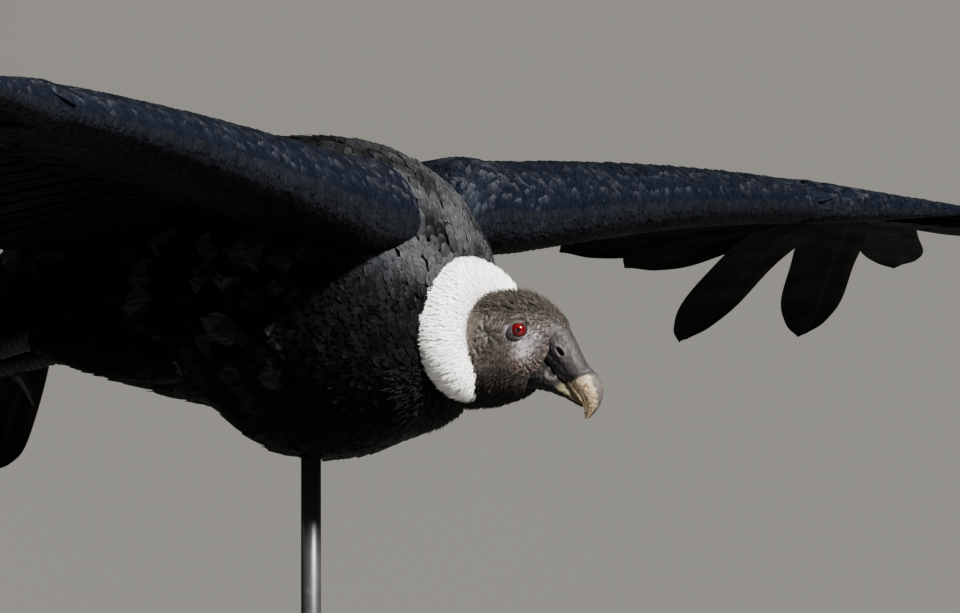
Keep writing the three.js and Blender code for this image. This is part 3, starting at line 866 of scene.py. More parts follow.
def claw_material():
    """Dark horn, a little streaked."""
    shade = Shade("Claw horn", Specular_IOR_Level=0.5)
    tone = shade.between(shade.noise(300.0, 4.0), 0.3, 0.7)
    colour = shade.mix(tone, (0.006, 0.0055, 0.005, 1), (0.022, 0.019, 0.016, 1))
    rough = shade.between(shade.noise(500.0), 0.3, 0.7, 0.28, 0.42)
    return shade.finish(Base_Color=colour, Roughness=rough, Normal=shade.bump(tone, 0.2, 0.0004))


def stand_material(colours):
    """Satin black paint on steel, with a fine orange peel and faint wear."""
    shade = Shade("Stand paint", Metallic=0.0, Specular_IOR_Level=0.5)
    peel = shade.noise(900.0, 2.0)
    worn = shade.between(shade.noise(60.0, 6.0), 0.62, 0.80)
    paint = (*colours.stand, 1)
    colour = shade.mix(worn * 0.35, paint, (0.11, 0.11, 0.11, 1))
    rough = shade.between(shade.noise(40.0, 4.0), 0.3, 0.7, 0.34, 0.46)
    return shade.finish(Base_Color=colour, Roughness=rough, Normal=shade.bump(peel, 0.12, 0.0005))


# Skin, eyes, bill, claws
FLESH = ["trunk", "neck", "head", "tail"] + [
    f"{part}_{side}{rest}" for side in ("left", "right") for part, rest in (
        ("wing", "_upper_arm"), ("wing", "_forearm"), ("wing", "_hand"), ("thigh", ""), ("foot", ""))
]


def outward(points, quads, tris):
    """Turns a closed body's faces out."""
    every = np.vstack([quads[:, [0, 1, 2]], quads[:, [0, 2, 3]], tris])
    a, b, c = (points[every[:, k]] for k in range(3))
    if (a * np.cross(b, c)).sum() < 0:
        return [quads[:, ::-1], tris[:, ::-1]]
    return [quads, tris]


def rough_body(name, rings):
    """A plain closed object, for the union that makes the skin."""
    points, quads, tris = closed_loft(rings)
    mesh = bpy.data.meshes.new(name)
    faces = [list(map(int, f)) for part in outward(points, quads, tris) for f in part]
    mesh.from_pydata(to_world(points).tolist(), [], faces)
    body = bpy.data.objects.new(name, mesh)
    bpy.context.scene.collection.objects.link(body)
    return body


def thigh_path():
    """The middle line of the left thigh."""
    (start, high), (end, low) = THIGH["from"], THIGH["to"]
    middle = spot(THIGH["side"], (start + end) / 2, high - 8)
    return [spot(THIGH["side"] - 4, start, high), middle, spot(HEEL[0] + 2, end, low)]


def thigh_radius(t):
    """The radius of the feathered thigh at a share of its length."""
    return THIGH["radius"] * (1 - 0.66 * t)


def limb_rings(side):
    """The rings of each limb of one side: arm, hand, thigh, shank and toes."""
    flip = np.array([side, 1, 1])
    w = np.linspace(-1, 1, 45)
    yield arm_loops(side, np.linspace(0, 1, 60), w, reach=0.5, inset=6) * flip
    yield hand_loops(np.linspace(0, 0.97, 30), w, reach=0.8, inset=4) * flip
    yield tube_rings(thigh_path(), lambda t: thigh_radius(t) - 5, 30, 32) * flip
    ringed = lambda t, r, n: r * (1 + 0.05 * np.cos(t * n * TURN))
    shank = [spot(*HEEL), spot(*SHANK), spot(*TOE_ROOT)]
    yield tube_rings(shank, lambda t: ringed(t, 10 - 1.5 * np.sin(math.pi * t), 16), 90, 24) * flip
    for toe in TOES:
        scutes = int(toe[1] / 5)
        radius_at = lambda t: ringed(t, 8 - 2.8 * t, scutes)
        yield tube_rings(toe_path(toe), radius_at, 16 + scutes * 5, 20) * flip


def toe_path(toe):
    """The middle line of a left toe, arched between its root and its tip."""
    t = np.array([0, 0.5, 1])[:, None]
    return spot(*TOE_ROOT) + heading(toe[0], 21) * toe[1] * t + np.array([0, 0, 7]) * np.sin(math.pi * t)


def body_colour(p):
    """The skin's colours: the bare head, the dark skin under the plumage, and the scaly feet."""
    f, _, side = rel_eye(p)
    covered = smooth(-52, -62, f)[:, None]
    colour = blended(face_colour(p), (0.010, 0.010, 0.011), covered)
    foot = (smooth(352, 362, p[:, 1]) * smooth(-100, -112, p[:, 2]) * (side < 95))[:, None]
    scaly = np.array([0.0042, 0.0041, 0.0040]) * (1 + 0.25 * waves(p, 7, 12)[:, None])
    return blended(colour, scaly, foot)


def make_skin():
    """The trunk's loft joined with the limbs into one skin without seams."""
    rows = np.concatenate([np.linspace(0, HEAD_ENDS, HEAD_ROWS), np.linspace(HEAD_ENDS, 1, BODY_ROWS)[1:]])
    rings = body_rings(rows, BODY_SIDES, coat_depth(rows))
    rings[:HEAD_ROWS] = shape_face(rings[:HEAD_ROWS])
    middle = rings[0].mean(0)
    ahead = np.array([0, -math.cos(HEAD_PITCH), -math.sin(HEAD_PITCH)])
    rounding = ((0.5, 0), (0.7, 1.3), (0.87, 1.7), (0.96, 1.1))
    lips = [middle + (rings[0] - middle) * s + ahead * d for s, d in rounding]
    body = rough_body("Skin", np.concatenate([np.stack(lips), rings]))
    limbs = [rough_body("Limb", rings) for side in (1, -1) for rings in limb_rings(side)]
    for limb in limbs:
        union = body.modifiers.new("Union", "BOOLEAN")
        union.operation, union.solver, union.object = "UNION", "MANIFOLD", limb
    bpy.context.view_layer.update()
    result = body.evaluated_get(bpy.context.evaluated_depsgraph_get())
    joined = bpy.data.meshes.new_from_object(result)
    points = np.empty(len(joined.vertices) * 3)
    joined.vertices.foreach_get("co", points)
    mark(joined, body_colour(from_world(points.reshape(-1, 3))))
    joined.polygons.foreach_set("use_smooth", np.ones(len(joined.polygons), bool))
    joined.materials.clear()
    joined.materials.append(skin_material())
    skin = bpy.data.objects.new("skin", joined)
    bpy.context.scene.collection.objects.link(skin)
    for spare in [body] + limbs:
        bpy.data.objects.remove(spare)
    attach(skin, "root")
    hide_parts(*FLESH)


def make_eyes(colours):
    """Two eyeballs that look along the gaze, each with pupil, streaked iris and dark rim."""
    material = eye_material()
    iris = np.array(colours.iris)
    for side, name in ((1, "left"), (-1, "right")):
        polar = np.linspace(0, math.pi, 49)[1:-1][:, None]
        turn = (np.arange(72) / 72 * TURN)[None, :]
        radius = EYE["radius"] + 0.35 * smooth(0.9, 0.2, polar)
        ball = np.stack([
            radius * np.cos(polar) * np.ones_like(turn),
            radius * np.sin(polar) * np.cos(turn),
            radius * np.sin(polar) * np.sin(turn),
        ], -1)
        x, y = ball[..., 0].copy(), ball[..., 1].copy()
        ball[..., 0] = x * math.cos(GAZE) + y * math.sin(GAZE)
        ball[..., 1] = -x * math.sin(GAZE) + y * math.cos(GAZE)
        centre = spot(EYE["side"], EYE["forward"], EYE["height"])
        points, quads, tris = closed_loft((ball + centre) * np.array([side, 1, 1]))
        off = np.concatenate([(EYE["radius"] * np.sin(polar) * np.ones_like(turn)).ravel(), [0, 0]])
        front = np.concatenate([(np.cos(polar) * np.ones_like(turn)).ravel(), [1, -1]])
        streak = np.concatenate([(np.cos(turn * 31) * np.ones_like(polar)).ravel(), [0, 0]])
        share = lambda low, high: smooth(low, high, off)[:, None]
        colour = 0.72 * iris * (1 + 0.3 * streak[:, None]) * (1.3 - 0.8 * share(3.0, 6.4))
        colour = blended(colour, (0.02, 0.012, 0.014), share(6.5, 7.1))
        colour = blended((0.006, 0.003, 0.003), colour, share(2.0, 2.4))
        colour = np.where(front[:, None] > 0, colour, 0.02)
        eye = new_piece(f"eyeball_{name}", points, outward(points, quads, tris), material, colour)
        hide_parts(f"eye_{name}")


def bill_rings(stations, rows, sides, flat):
    """Rings of one half of the bill. flat is -1 where it is squared off below, 1 above."""
    s = np.array(stations, float)
    t = np.linspace(0, 1, rows)

    def place(along, above):
        forward = along * math.cos(HEAD_PITCH) + above * math.sin(HEAD_PITCH)
        height = -along * math.sin(HEAD_PITCH) + above * math.cos(HEAD_PITCH)
        return np.stack([0 * along, -forward - EYE["forward"], height + EYE["height"]], -1)

    top, bottom = rail(place(s[:, 0], s[:, 1]))(t), rail(place(s[:, 2], s[:, 3]))(t)
    half = rail(s[:, 4:5])(t)[:, :1]
    angle = -np.arange(sides) / sides * TURN
    level, wide = np.sin(angle), np.cos(angle)
    squared = np.sign(wide) * np.abs(wide) ** 0.42
    share = smooth(0.0, 0.5, flat * level)
    level = np.clip(level * (1 + 0.3 * share), -1, 1)
    wide = wide * (1 - share) + squared * share * (1 - 0.1 * share)
    rings = ((top + bottom) / 2)[:, None] + ((top - bottom) / 2)[:, None] * level[None, :, None]
    rings[..., 0] += half * wide
    return rings


def along_bill(p):
    """Along and above the bill's axis, from the eyes."""
    f, h, _ = rel_eye(p)
    along = f * math.cos(HEAD_PITCH) - h * math.sin(HEAD_PITCH)
    return along, f * math.sin(HEAD_PITCH) + h * math.cos(HEAD_PITCH)


def ring_levels(rings):
    """How high on its ring each point of a half of the bill lies, from -1 to 1."""
    rows, sides = rings.shape[:2]
    return np.sin(-np.arange(sides) / sides * TURN)[None, :] * np.ones((rows, 1))


NOSTRIL = (40.5, 7.2, 4.7, 2.5)  # along, above, half length, half height


def upper_bill(colours):
    """Rings and colours of the upper half: nostril, the tip's groove, pits, a ridge and a pale tip."""
    upper = bill_rings(BILL_UPPER, 150, 120, -1)
    along, above = along_bill(upper)
    lean = math.radians(-12)
    x, y = along - NOSTRIL[0], above - NOSTRIL[1]
    far = np.hypot((x * math.cos(lean) + y * math.sin(lean)) / NOSTRIL[2],
                   (-x * math.sin(lean) + y * math.cos(lean)) / NOSTRIL[3])
    low_edge = np.interp(along, [30, 48, 65, 80, 88], [-6.8, -11.4, -11.6, -15.4, -20])
    groove = along - (60 + 0.55 * (above + 11))
    relief = -4.2 * smooth(1.0, 0.62, far) + 0.5 * hump(far - 1.3, 0.25)
    relief += -0.65 * hump(groove, 1.5) + 0.35 * smooth(0, 5, groove) * smooth(22, 10, groove)
    relief += 0.45 * waves(upper, 7, 21) * smooth(62, 50, along) + 0.12 * waves(upper, 2.5, 22)
    relief += -0.5 * hump(above - low_edge - 3.2, 1.1) * smooth(34, 42, along) * smooth(90, 80, along)
    normal = Surface(upper).n
    upper = upper + normal * relief[..., None] * smooth(97, 92, along)[..., None]
    level = ring_levels(upper)
    tip = smooth(2, 6, groove) * smooth(0.86, 0.62, level + 0.16 * waves(upper, 9, 23))
    colour = np.array(colours.slate) * (1 + 0.35 * waves(upper, 8, 24))[..., None]
    ridge = smooth(2, 8, groove) * smooth(0.55, 0.9, level)
    colour = blended(colour, (0.075, 0.066, 0.058), 0.6 * ridge[..., None])
    colour = blended(colour, colours.ivory, tip[..., None])
    # Painted shade: the nostril's hollow is painted near black
    colour = blended(colour, 0.004, smooth(0.98, 0.7, far)[..., None])
    return upper, blended(colour, (0.06, 0.055, 0.057), 0.5 * hump(far - 1.5, 0.45)[..., None])


def lower_bill():
    """Rings and colours of the lower half: dark and fleshy behind, with the gape's fold, yellow before."""
    lower = bill_rings(BILL_LOWER, 90, 80, 1)
    along, _ = along_bill(lower)
    core = lower.mean(1, keepdims=True)
    lower = core + (lower - core) * (1 - 0.12 * smooth(58, 42, along))[..., None]
    f, h, _ = rel_eye(lower)
    fold = hump(np.hypot(f - 27, h + 37) - 5, 1.7) * smooth(3, -6, h + 33)
    fleshy = smooth(52, 44, along)
    bumps = 0.3 * waves(lower, 6, 31) * smooth(82, 70, along) + fold + 0.55 * waves(lower, 3.2, 33) * fleshy
    lower += Surface(lower).n * bumps[..., None]
    yellow = smooth(53, 61, along) * smooth(-0.55, 0.05, ring_levels(lower))
    dark = np.array([0.0055, 0.0050, 0.0052]) * (1 + 0.5 * waves(lower, 5, 32))[..., None]
    dark = blended(dark, (0.075, 0.066, 0.064), 0.8 * fold[..., None])
    return lower, blended(dark, (0.135, 0.12, 0.072), yellow[..., None])


def make_bill(colours):
    """Both halves of the bill."""
    material = bill_material()
    for name, (rings, shades) in (("bill_upper", upper_bill(colours)), ("bill_lower", lower_bill())):
        points, quads, tris = closed_loft(rings)
        ends = np.stack([shades[0].mean(0), shades[-1].mean(0)])
        piece = new_piece(f"{name}_horn", points, outward(points, quads, tris), material,
                          np.vstack([shades.reshape(-1, 3), ends]))
        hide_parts(name)


def make_claws():
    """Every claw as a smooth hooked cone."""
    points, quads, tris, count, nodes = [], [], [], 0, []
    for side, name in ((1, "left"), (-1, "right")):
        for toe in TOES:
            path = toe_path(toe)
            onward = unit(path[2] - path[1])
            t = np.linspace(-0.12, 1, 6)[:, None]
            hook = np.array([0, 0, -CLAW_LENGTH * 0.5]) * t * abs(t)
            curve = path[2] + onward * (1.4 + CLAW_LENGTH * t * 0.86) + hook
            rings = tube_rings(curve, lambda s: 4.5 * (1 - s) ** 0.7 + 0.25, 26, 18, squash=1.15)
            p, q, r = closed_loft(rings * np.array([side, 1, 1]))
            q, r = outward(p, q, r)
            points.append(p)
            quads.append(q + count)
            tris.append(r + count)
            count += len(p)
            nodes.append(f"claw_{name}_{toe[2]}")
    faces = [np.vstack(quads), np.vstack(tris)]
    piece = new_piece("claws", np.vstack(points), faces, claw_material())
    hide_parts(*nodes)


# Plumage
CELLS = 24  # patches along one side of the OFBake map of long feathers
BLACK = np.array([0.0018, 0.0018, 0.0020])
# Painted light on the black plumage, in this order: a blue sheen, a lit band under the wing's leading edge,
# silver highlights
BLUE_SHEEN = (0.0028, 0.0038, 0.0071)
LIT_EDGE = (0.0050, 0.0058, 0.0082)
SILVER_HIGHLIGHT = (0.050, 0.053, 0.062)
# The mantle's pale grey: partly the feathers' own paler edges, partly painted sheen
MANTLE_GREY_AND_SHEEN = (0.062, 0.064, 0.070)
# Share of the length, and the width there as a share of the widest
FEATHER_OUTLINES = {
    "primary": [(0, 0.3), (0.2, 0.74), (0.42, 1.0), (0.6, 0.95), (0.8, 0.93), (0.93, 0.62), (1, 0.12)],
    "secondary": [(0, 0.4), (0.2, 0.8), (0.5, 1.0), (0.84, 1.0), (0.95, 0.72), (1, 0.2)],
    "covert": [(0, 0.4), (0.25, 0.85), (0.6, 1.0), (0.85, 0.82), (0.96, 0.45), (1, 0.12)],
}


def quill_feathers(plumes, roots, alongs, leads, lengths, widths, outline, colours, cell, *, sag=0, arch=0,
                   roll=1.2, lift=0, thick=1.0, mirror=False, rows=30, cols=11):
    """Long feathers with a shaft and two vanes, each a thin body of an upper and an under sheet."""
    n = len(roots)
    lengths, widths, sag, arch, lift = (
        np.broadcast_to(np.asarray(x, float), n)[:, None, None] for x in (lengths, widths, sag, arch, lift))
    shape = rail(np.array(FEATHER_OUTLINES[outline]))(np.linspace(0, 1, rows))
    a, wide = shape[None, :, :1], shape[None, :, 1:]
    b = np.array([1, 0.72, 0.4, 0.14, 0.04, 0, -0.03, -0.1, -0.4, -0.75, -1])[None, None, :cols]
    y = np.where(b > 0, 0.16 + 0.34 * b, 0.16 + 0.66 * b) * widths * wide
    x = a * lengths * (1 - 0.012 * b**2)
    shaft = 0.9 * hump(b, 0.07) * (1.15 - a)
    sheet = -sag * a**2 + arch * np.sin(math.pi * a) + roll * b * smooth(0, 0.3, a) - 1.1 * b**2 + lift
    up = unit(np.cross(leads, alongs))
    place = lambda h: (roots[:, None, None] + alongs[:, None, None] * x[..., None]
                       + leads[:, None, None] * y[..., None] + up[:, None, None] * h[..., None])
    half = thick / 2 * (1 - b**2) * (1.1 - a)
    for over in (True, False):
        grid = place(sheet + shaft + half) if over else place(sheet - shaft - half)
        shades = colours(a, b, over) + np.zeros(grid.shape)
        number = cell + np.arange(n) * 2 + (0 if over else 1)
        uv = np.stack([(number % CELLS + 0.5) / CELLS, (number // CELLS + 0.5) / CELLS], -1)
        if not over:
            grid, shades = grid[:, :, ::-1], shades[:, :, ::-1]
        plumes.add(grid, shades, uv, patch=0.85 / CELLS, mirror=mirror)
    return cell + 2 * n


def dark_vane(a, b, over):
    """A black vane with a paler shaft, browner and thinner along its leading edge."""
    shaft = hump(b, 0.08)[..., None] * (1 - 0.5 * a[..., None])
    strip = (smooth(0.55, 0.9, b) * smooth(0.25, 0.45, a) * smooth(0.95, 0.7, a))[..., None]
    colour = blended(BLACK, (0.034, 0.028, 0.020), 0.35 * strip)
    return blended(colour, (0.018, 0.0165, 0.015), 0.6 * shaft)


def silver_vane(share):
    """The pale outer webs on top of the inner wing; dark beneath and on the inner web."""
    def shades(a, b, over):
        dark = dark_vane(a, b, over)
        if not over:
            return dark
        web = (smooth(-0.86, -0.62, b) * smooth(0.1, 0.3, a) * smooth(1.0, 0.9, a))[..., None] * share
        return blended(dark, (0.20, 0.20, 0.197), web)
    return shades


def alula_vane(a, b, over):
    """The alula's feathers: blue black with paler fronts."""
    web = (smooth(-0.2, 0.6, b) * smooth(0.05, 0.3, a))[..., None]
    return np.array(BLUE_SHEEN) * 1.2 * (1 - 0.6 * web) + np.array(SILVER_HIGHLIGHT) * 0.6 * web


def leading(ways, rise=0.0):
    """From a feather's direction to its leading edge: level, or rising a little."""
    return unit(np.stack([ways[:, 1], -ways[:, 0], rise + 0 * ways[:, 0]], -1))


def primary_frames():
    """Roots, directions, leading directions, lengths and sags of the left hand's primaries."""
    bone = heading(90 + HAND["sweep"], -HAND["dihedral"])
    rows = np.array(PRIMARIES)
    i = np.arange(len(rows))[:, None]
    roots = WRIST + bone * HAND["length"] * rows[:, :1] + np.array([0, 0, HAND["stack"]]) * (4.5 - i)
    alongs = np.stack([heading(out, droop) for _, out, droop, _, _ in PRIMARIES])
    leads = leading(alongs)
    twist = np.radians(np.interp(i, *PRIMARY_TWISTS))
    leads = leads * np.cos(twist) + np.cross(leads, alongs) * -np.sin(twist)
    return roots, alongs, leads, rows[:, 4], rows[:, 3]


def make_flight_feathers(colours, sizes):
    """The primaries, secondaries and tail feathers."""
    rng = np.random.default_rng(11)
    plumes = Plumes()
    cell = 0
    for side in (1, -1):
        mirror = side < 0
        roots, alongs, leads, lengths, sags = primary_frames()
        cell = quill_feathers(
            plumes, roots, alongs, leads, lengths, PRIMARY_WIDTH, "primary", dark_vane, cell,
            sag=sags, roll=2.0, mirror=mirror, rows=36)
        t = FREE_ARM + (1 - FREE_ARM) * (2 * np.arange(SECONDARIES) + 1) / (2 * SECONDARIES)
        lead, trail, _ = arm_rails(side)
        front, back = lead(t), trail(t)
        chord = back - front
        start = 0.3
        long = np.linalg.norm(chord, axis=1)[:, None]
        roots = front + chord * start + above_chord(chord) * CAMBER * 4 * start * (1 - start) * long
        roots[:, 0] -= 10
        tips = back + np.stack([rng.normal(0, 1.2, len(t)), rng.normal(0, 2.0, len(t)), 0 * t], -1)
        alongs = unit(tips - roots)
        across = unit(np.array([1.0, 0, 0]) - alongs * alongs[:, :1])
        lengths = np.linalg.norm(tips - roots, axis=1)
        cell = quill_feathers(
            plumes, roots, alongs, across, lengths, SECONDARY_WIDTH, "secondary", silver_vane(0.9), cell,
            arch=3, roll=1.6, mirror=mirror, rows=22)
    n = TAIL["feathers"]
    out = np.linspace(-TAIL["fan"], TAIL["fan"], n)
    alongs = np.stack([heading(a, TAIL["pitch"]) for a in out])
    root = spot(0, TAIL["forward"], TAIL["height"])
    lift = -1.2 * np.abs(np.arange(n) - 5.4)
    roots = root + alongs * 20 + np.stack([0 * lift, 0 * lift, lift], -1)
    for half, mirror in ((out > 0, False), (out < 0, True)):
        flip = MIRRORED if mirror else 1
        starts, ways = roots[half] * flip, alongs[half] * flip
        cell = quill_feathers(
            plumes, starts, ways, leading(ways), TAIL["length"] - 20, TAIL["width"], "secondary",
            dark_vane, cell, roll=1.4, arch=4, sag=6, mirror=mirror, rows=24)
    plumes.build("flight_feathers", feather_material("Flight feathers", 90, 0.6, colours, 900.0))


def scatter_rows(spacings, length, rng, ragged=0.25):
    """Staggered rows, one for each spacing: shares of the row's length, and the row's number."""
    shares, rows = [], []
    for r, gap in enumerate(spacings):
        count = max(int(length / gap), 3)
        s = (np.arange(count) + 0.5 * (r % 2) + 0.25) / count
        shares.append(s + rng.normal(0, ragged / count / 2, count))
        rows.append(np.full(count, r))
    return np.concatenate(shares), np.concatenate(rows)


def covert_plan(distances, lengths, last, first=1.0):
    """Rows as (distance from the leading edge, length, gap to the next feather), the rearmost first."""
    plan, distance = [], first
    while distance < last:
        length = np.interp(distance, distances, lengths)
        plan.append((distance, length, np.interp(length, [15, 30, 60, 120], [7.6, 11, 17, 26])))
        distance += length * 0.36
    return plan[::-1]


def covert_rows(plumes, surface, plan, span, side, under, place, rng, skew=14):
    """Rows of coverts from a plan, on top of the wing or under it."""
    plan, arc = np.array(plan), front_arc(surface)
    u, rows = scatter_rows(plan[:, 2], span, rng)
    sign = -1 if under else 1
    back = plan[rows, 0] + rng.normal(0, 1.4, len(rows))
    v = 0.5 + sign * np.sign(back) * np.interp(np.abs(back), arc, np.linspace(0, 0.5, len(arc)))
    length = plan[rows, 1] * rng.uniform(0.86, 1.16, len(rows))
    width = np.maximum(plan[rows, 2] * 1.8, length * 0.42)
    turn = sign * (math.pi / 2 - math.radians(skew)) + rng.normal(0, 0.13, len(rows))
    sunk = np.interp(length, [15, 60], [2.4, 4]) * smooth(0, 24, np.abs(back))
    raised = rng.uniform(-0.4, 0.5, len(rows)) * (0.4 if under else 1)
    raised = raised + np.interp(length, [30, 110], [0, 6.5])
    grid = lay(surface, u, v, turn, length, width, -sunk, raised, cup=0.5, roll=sign * 0.4)
    # Painted light towards the leading edge: a lit band beneath and a blue sheen above; the whole top takes
    # half the blue sheen
    edge = smooth(30 if under else 90, 2, back)
    base = blended(BLACK, LIT_EDGE if under else BLUE_SHEEN, each(edge))
    base = base * rng.uniform(0.8, 1.2, (len(rows), 1, 1, 1))
    if not under:
        base = blended(base, BLUE_SHEEN, 0.5)
    # Painted silver highlights on the rims, most along the crest and over the inner arm
    crest_highlight = 0 if under else smooth(-16, -4, back) * smooth(46, 14, back)
    crest_highlight = crest_highlight + (0 if under else 1.4 * smooth(0.42, 0.2, u) * smooth(-10, 4, back) * smooth(90, 30, back))
    strength = rng.uniform(0, 1, len(rows)) ** 3 * (0.05 + 0.10 * edge + 0.24 * crest_highlight)
    shades = marked(grid, base, SILVER_HIGHLIGHT, strength)
    uv = np.stack([place[0] + np.clip(u, 0, 1) * 0.44, place[1] + v * 0.44], -1)
    plumes.add(grid, shades, uv, mirror=side < 0)


def arm_surface(side):
    """The plumage's outer shape on one arm, as for a left wing."""
    points = arm_loops(side, np.linspace(0, 1, 160), np.linspace(-1, 1, 181))
    return Surface(points, closed=False)


def front_arc(surface):
    """Distance along the section from its leading edge back, at mid-length, on the upper side."""
    middle = surface.p[surface.nu // 2, surface.nv // 2:]
    return arc_length(middle)


def make_wing_coverts(side, colours, sizes):
    """The coverts of one wing, above and below, on the arm, the hand and over the wrist."""
    name = "left" if side > 0 else "right"
    rng = np.random.default_rng(41 if side > 0 else 42)
    plumes = Plumes()
    arm = arm_surface(side)
    wrap = np.linspace(-1, 1, 121)
    hand = Surface(hand_loops(np.linspace(0, 1, 80), wrap), closed=False)
    wrist = Surface(np.concatenate([
        arm_loops(side, np.linspace(0.9, 0.985, 24), wrap),
        hand_loops(np.linspace(0.06, 0.3, 24), wrap),
    ]), closed=False)
    small = sizes.covert_length
    upper = covert_plan([0, 60, 95, 150], [small, small + 7, 40, 130], 156, -11.0)
    under = covert_plan([0, 55, 90, 135], [small, small + 6, 36, 110], 140, -3.0)
    for plan, below, place in ((upper, False, (0.03, 0.03)), (under, True, (0.03, 0.52))):
        covert_rows(plumes, arm, plan, 680, side, below, place, rng)
    short = covert_plan([0, 60], [small, small + 5], 66, -9.0)
    for surface, span, skew in ((hand, 250, 35), (wrist, 118, 48)):
        for below, place in ((False, (0.52, 0.03)), (True, (0.52, 0.52))):
            covert_rows(plumes, surface, short, span, side, below, place, rng, skew)
    material = feather_material(f"Wing coverts {name}", 14, 0.5, colours)
    plumes.build(f"wing_coverts_{name}", material)


def make_hand_coverts(colours, sizes):
    """Long coverts over and under the primaries' roots, and the alula."""
    plumes = Plumes()
    cell = 0
    for side in (1, -1):
        mirror = side < 0
        roots, alongs, leads, lengths, _ = primary_frames()
        for lift, share in ((5.5, 0.36), (8.5, 0.2), (-5.5, 0.33), (-8.5, 0.19)):
            start = roots + alongs * 10
            cell = quill_feathers(
                plumes, start, alongs, leads, lengths * share, HAND_COVERT_WIDTH, "covert", dark_vane, cell,
                lift=lift, sag=lift * 0.75, roll=1.5, mirror=mirror, rows=14)
        count = 4
        k = np.arange(count)[:, None]
        ways = np.stack([heading(84 - 5 * i, -2.5 + 1.5 * i) for i in range(count)])
        starts = WRIST + np.array([-14, -22, 0]) + k * np.array([9, 7, -1.5])
        cell = quill_feathers(
            plumes, starts, ways, leading(ways, 0.35), [150, 128, 104, 80], ALULA_WIDTH, "covert",
            alula_vane, cell, roll=2.0, arch=5, mirror=mirror, rows=18)
    plumes.build("hand_coverts", feather_material("Hand coverts", 40, 0.55, colours, 500.0))


def body_surface():
    """The plumage's outer shape on the neck and trunk."""
    return Surface(body_rings(np.linspace(0, 1, 420), 260, 0.0))


def neck_to_tail(surface):
    """Distances along the flank from the neck, and their places u."""
    side_line = (surface.p[:, 0] + surface.p[:, surface.nv // 2]) / 2
    far = arc_length(side_line)
    u = np.linspace(0, 1, surface.nu)
    start = np.interp(7.0 / STATIONS, u, far)
    return lambda distance: np.interp(distance + start, far, u)


def make_body_feathers(colours, sizes):
    """Rings of feathers from the neck to the tail, longer and longer, as a back and a belly piece."""
    surface = body_surface()
    u_at = neck_to_tail(surface)
    rng = np.random.default_rng(7)
    u, v, long, gap = [], [], [], []
    distance, row = 0.0, 0
    small = sizes.scale_length
    while distance < 545:
        length = np.interp(distance, [0, 60, 130, 220, 400], [small, small + 3, 24, 44, 60])
        here = u_at(distance)
        ring = surface.look(surface.p, np.full(200, here), np.arange(200) / 200)
        around = np.linalg.norm(ring - np.roll(ring, 1, 0), axis=1).sum()
        count = int(around / (length * 0.5))
        places = (np.arange(count) + 0.5 * (row % 2) + rng.normal(0, 0.27, count)) / count
        u.append(np.full(count, here) + rng.normal(0, 0.09, count) * length / 700)
        v.append(places)
        long.append(np.full(count, length))
        gap.append(np.full(count, distance))
        distance += length * 0.31
        row += 1
    u, v, long, gap = (np.concatenate(x) for x in (u, v, long, gap))
    level = np.sin(v * TURN)
    long = long * rng.uniform(0.8, 1.2, len(u)) * (1 + 0.18 * smooth(0.1, -0.6, level))
    wide = long * rng.uniform(0.62, 0.86, len(u))
    deep = np.interp(long, [10, 25, 60], [2.6, 4.5, 7])
    lift = rng.normal(0.1, 0.6, len(u)) * np.interp(long, [10, 40], [0.6, 1.3])
    top = smooth(0.15, 0.7, level)
    front = smooth(170, 40, gap)
    lift = lift * (1 - 0.6 * front)
    grid = lay(surface, u, v, rng.normal(0, 0.2, len(u)), long, wide, -deep * (1 - 0.45 * front), lift,
               cup=0.5 - 0.3 * front[:, None, None], roll=rng.normal(0, 0.4, len(u)) * (1 - 0.6 * front))
    brown = np.array([0.016, 0.0135, 0.0112])
    # On top the rims and mottling are pale grey, partly the feathers' own paler edges and partly painted
    # sheen; below, the rims are brown
    strength = (0.2 + 0.7 * front * smooth(-0.2, 0.5, level)) * 0.6 * rng.uniform(0, 1.0, len(u)) ** 1.6
    rim = blended(brown, MANTLE_GREY_AND_SHEEN, each(top))
    base = BLACK * (1 + each(1.6 * front * rng.uniform(0, 1, len(u))))
    root, _ = surface.at(u, v)
    mottled = 0.45 * front * top * np.clip(0.6 + waves(root, 60, 61), 0, 1)
    base = blended(base, MANTLE_GREY_AND_SHEEN, each(mottled))
    # Painted sheen: pale glossy patches on the flank's feathers
    flank = smooth(70, 130, gap) * smooth(300, 230, gap)
    flank = flank * smooth(-0.8, -0.45, level) * smooth(0.45, 0.2, level)
    gloss = 0.75 * flank * smooth(0.0, 0.6, waves(root, 34, 62))
    base = blended(base, (0.034, 0.032, 0.030), each(gloss))
    shades = marked(grid, base, rim, strength)
    halves = (level >= -0.05, level < -0.05)
    for name, part in (("back_feathers", halves[0]), ("belly_feathers", halves[1])):
        plumes = Plumes()
        uv = np.stack([0.02 + 0.96 * np.clip(u[part], 0, 1), 0.02 + 0.96 * (v[part] % 1)], -1)
        plumes.add(grid[part], shades[part], uv)
        title = name.replace("_", " ").capitalize()
        plumes.build(name, feather_material(title, 16, 0.45, colours))


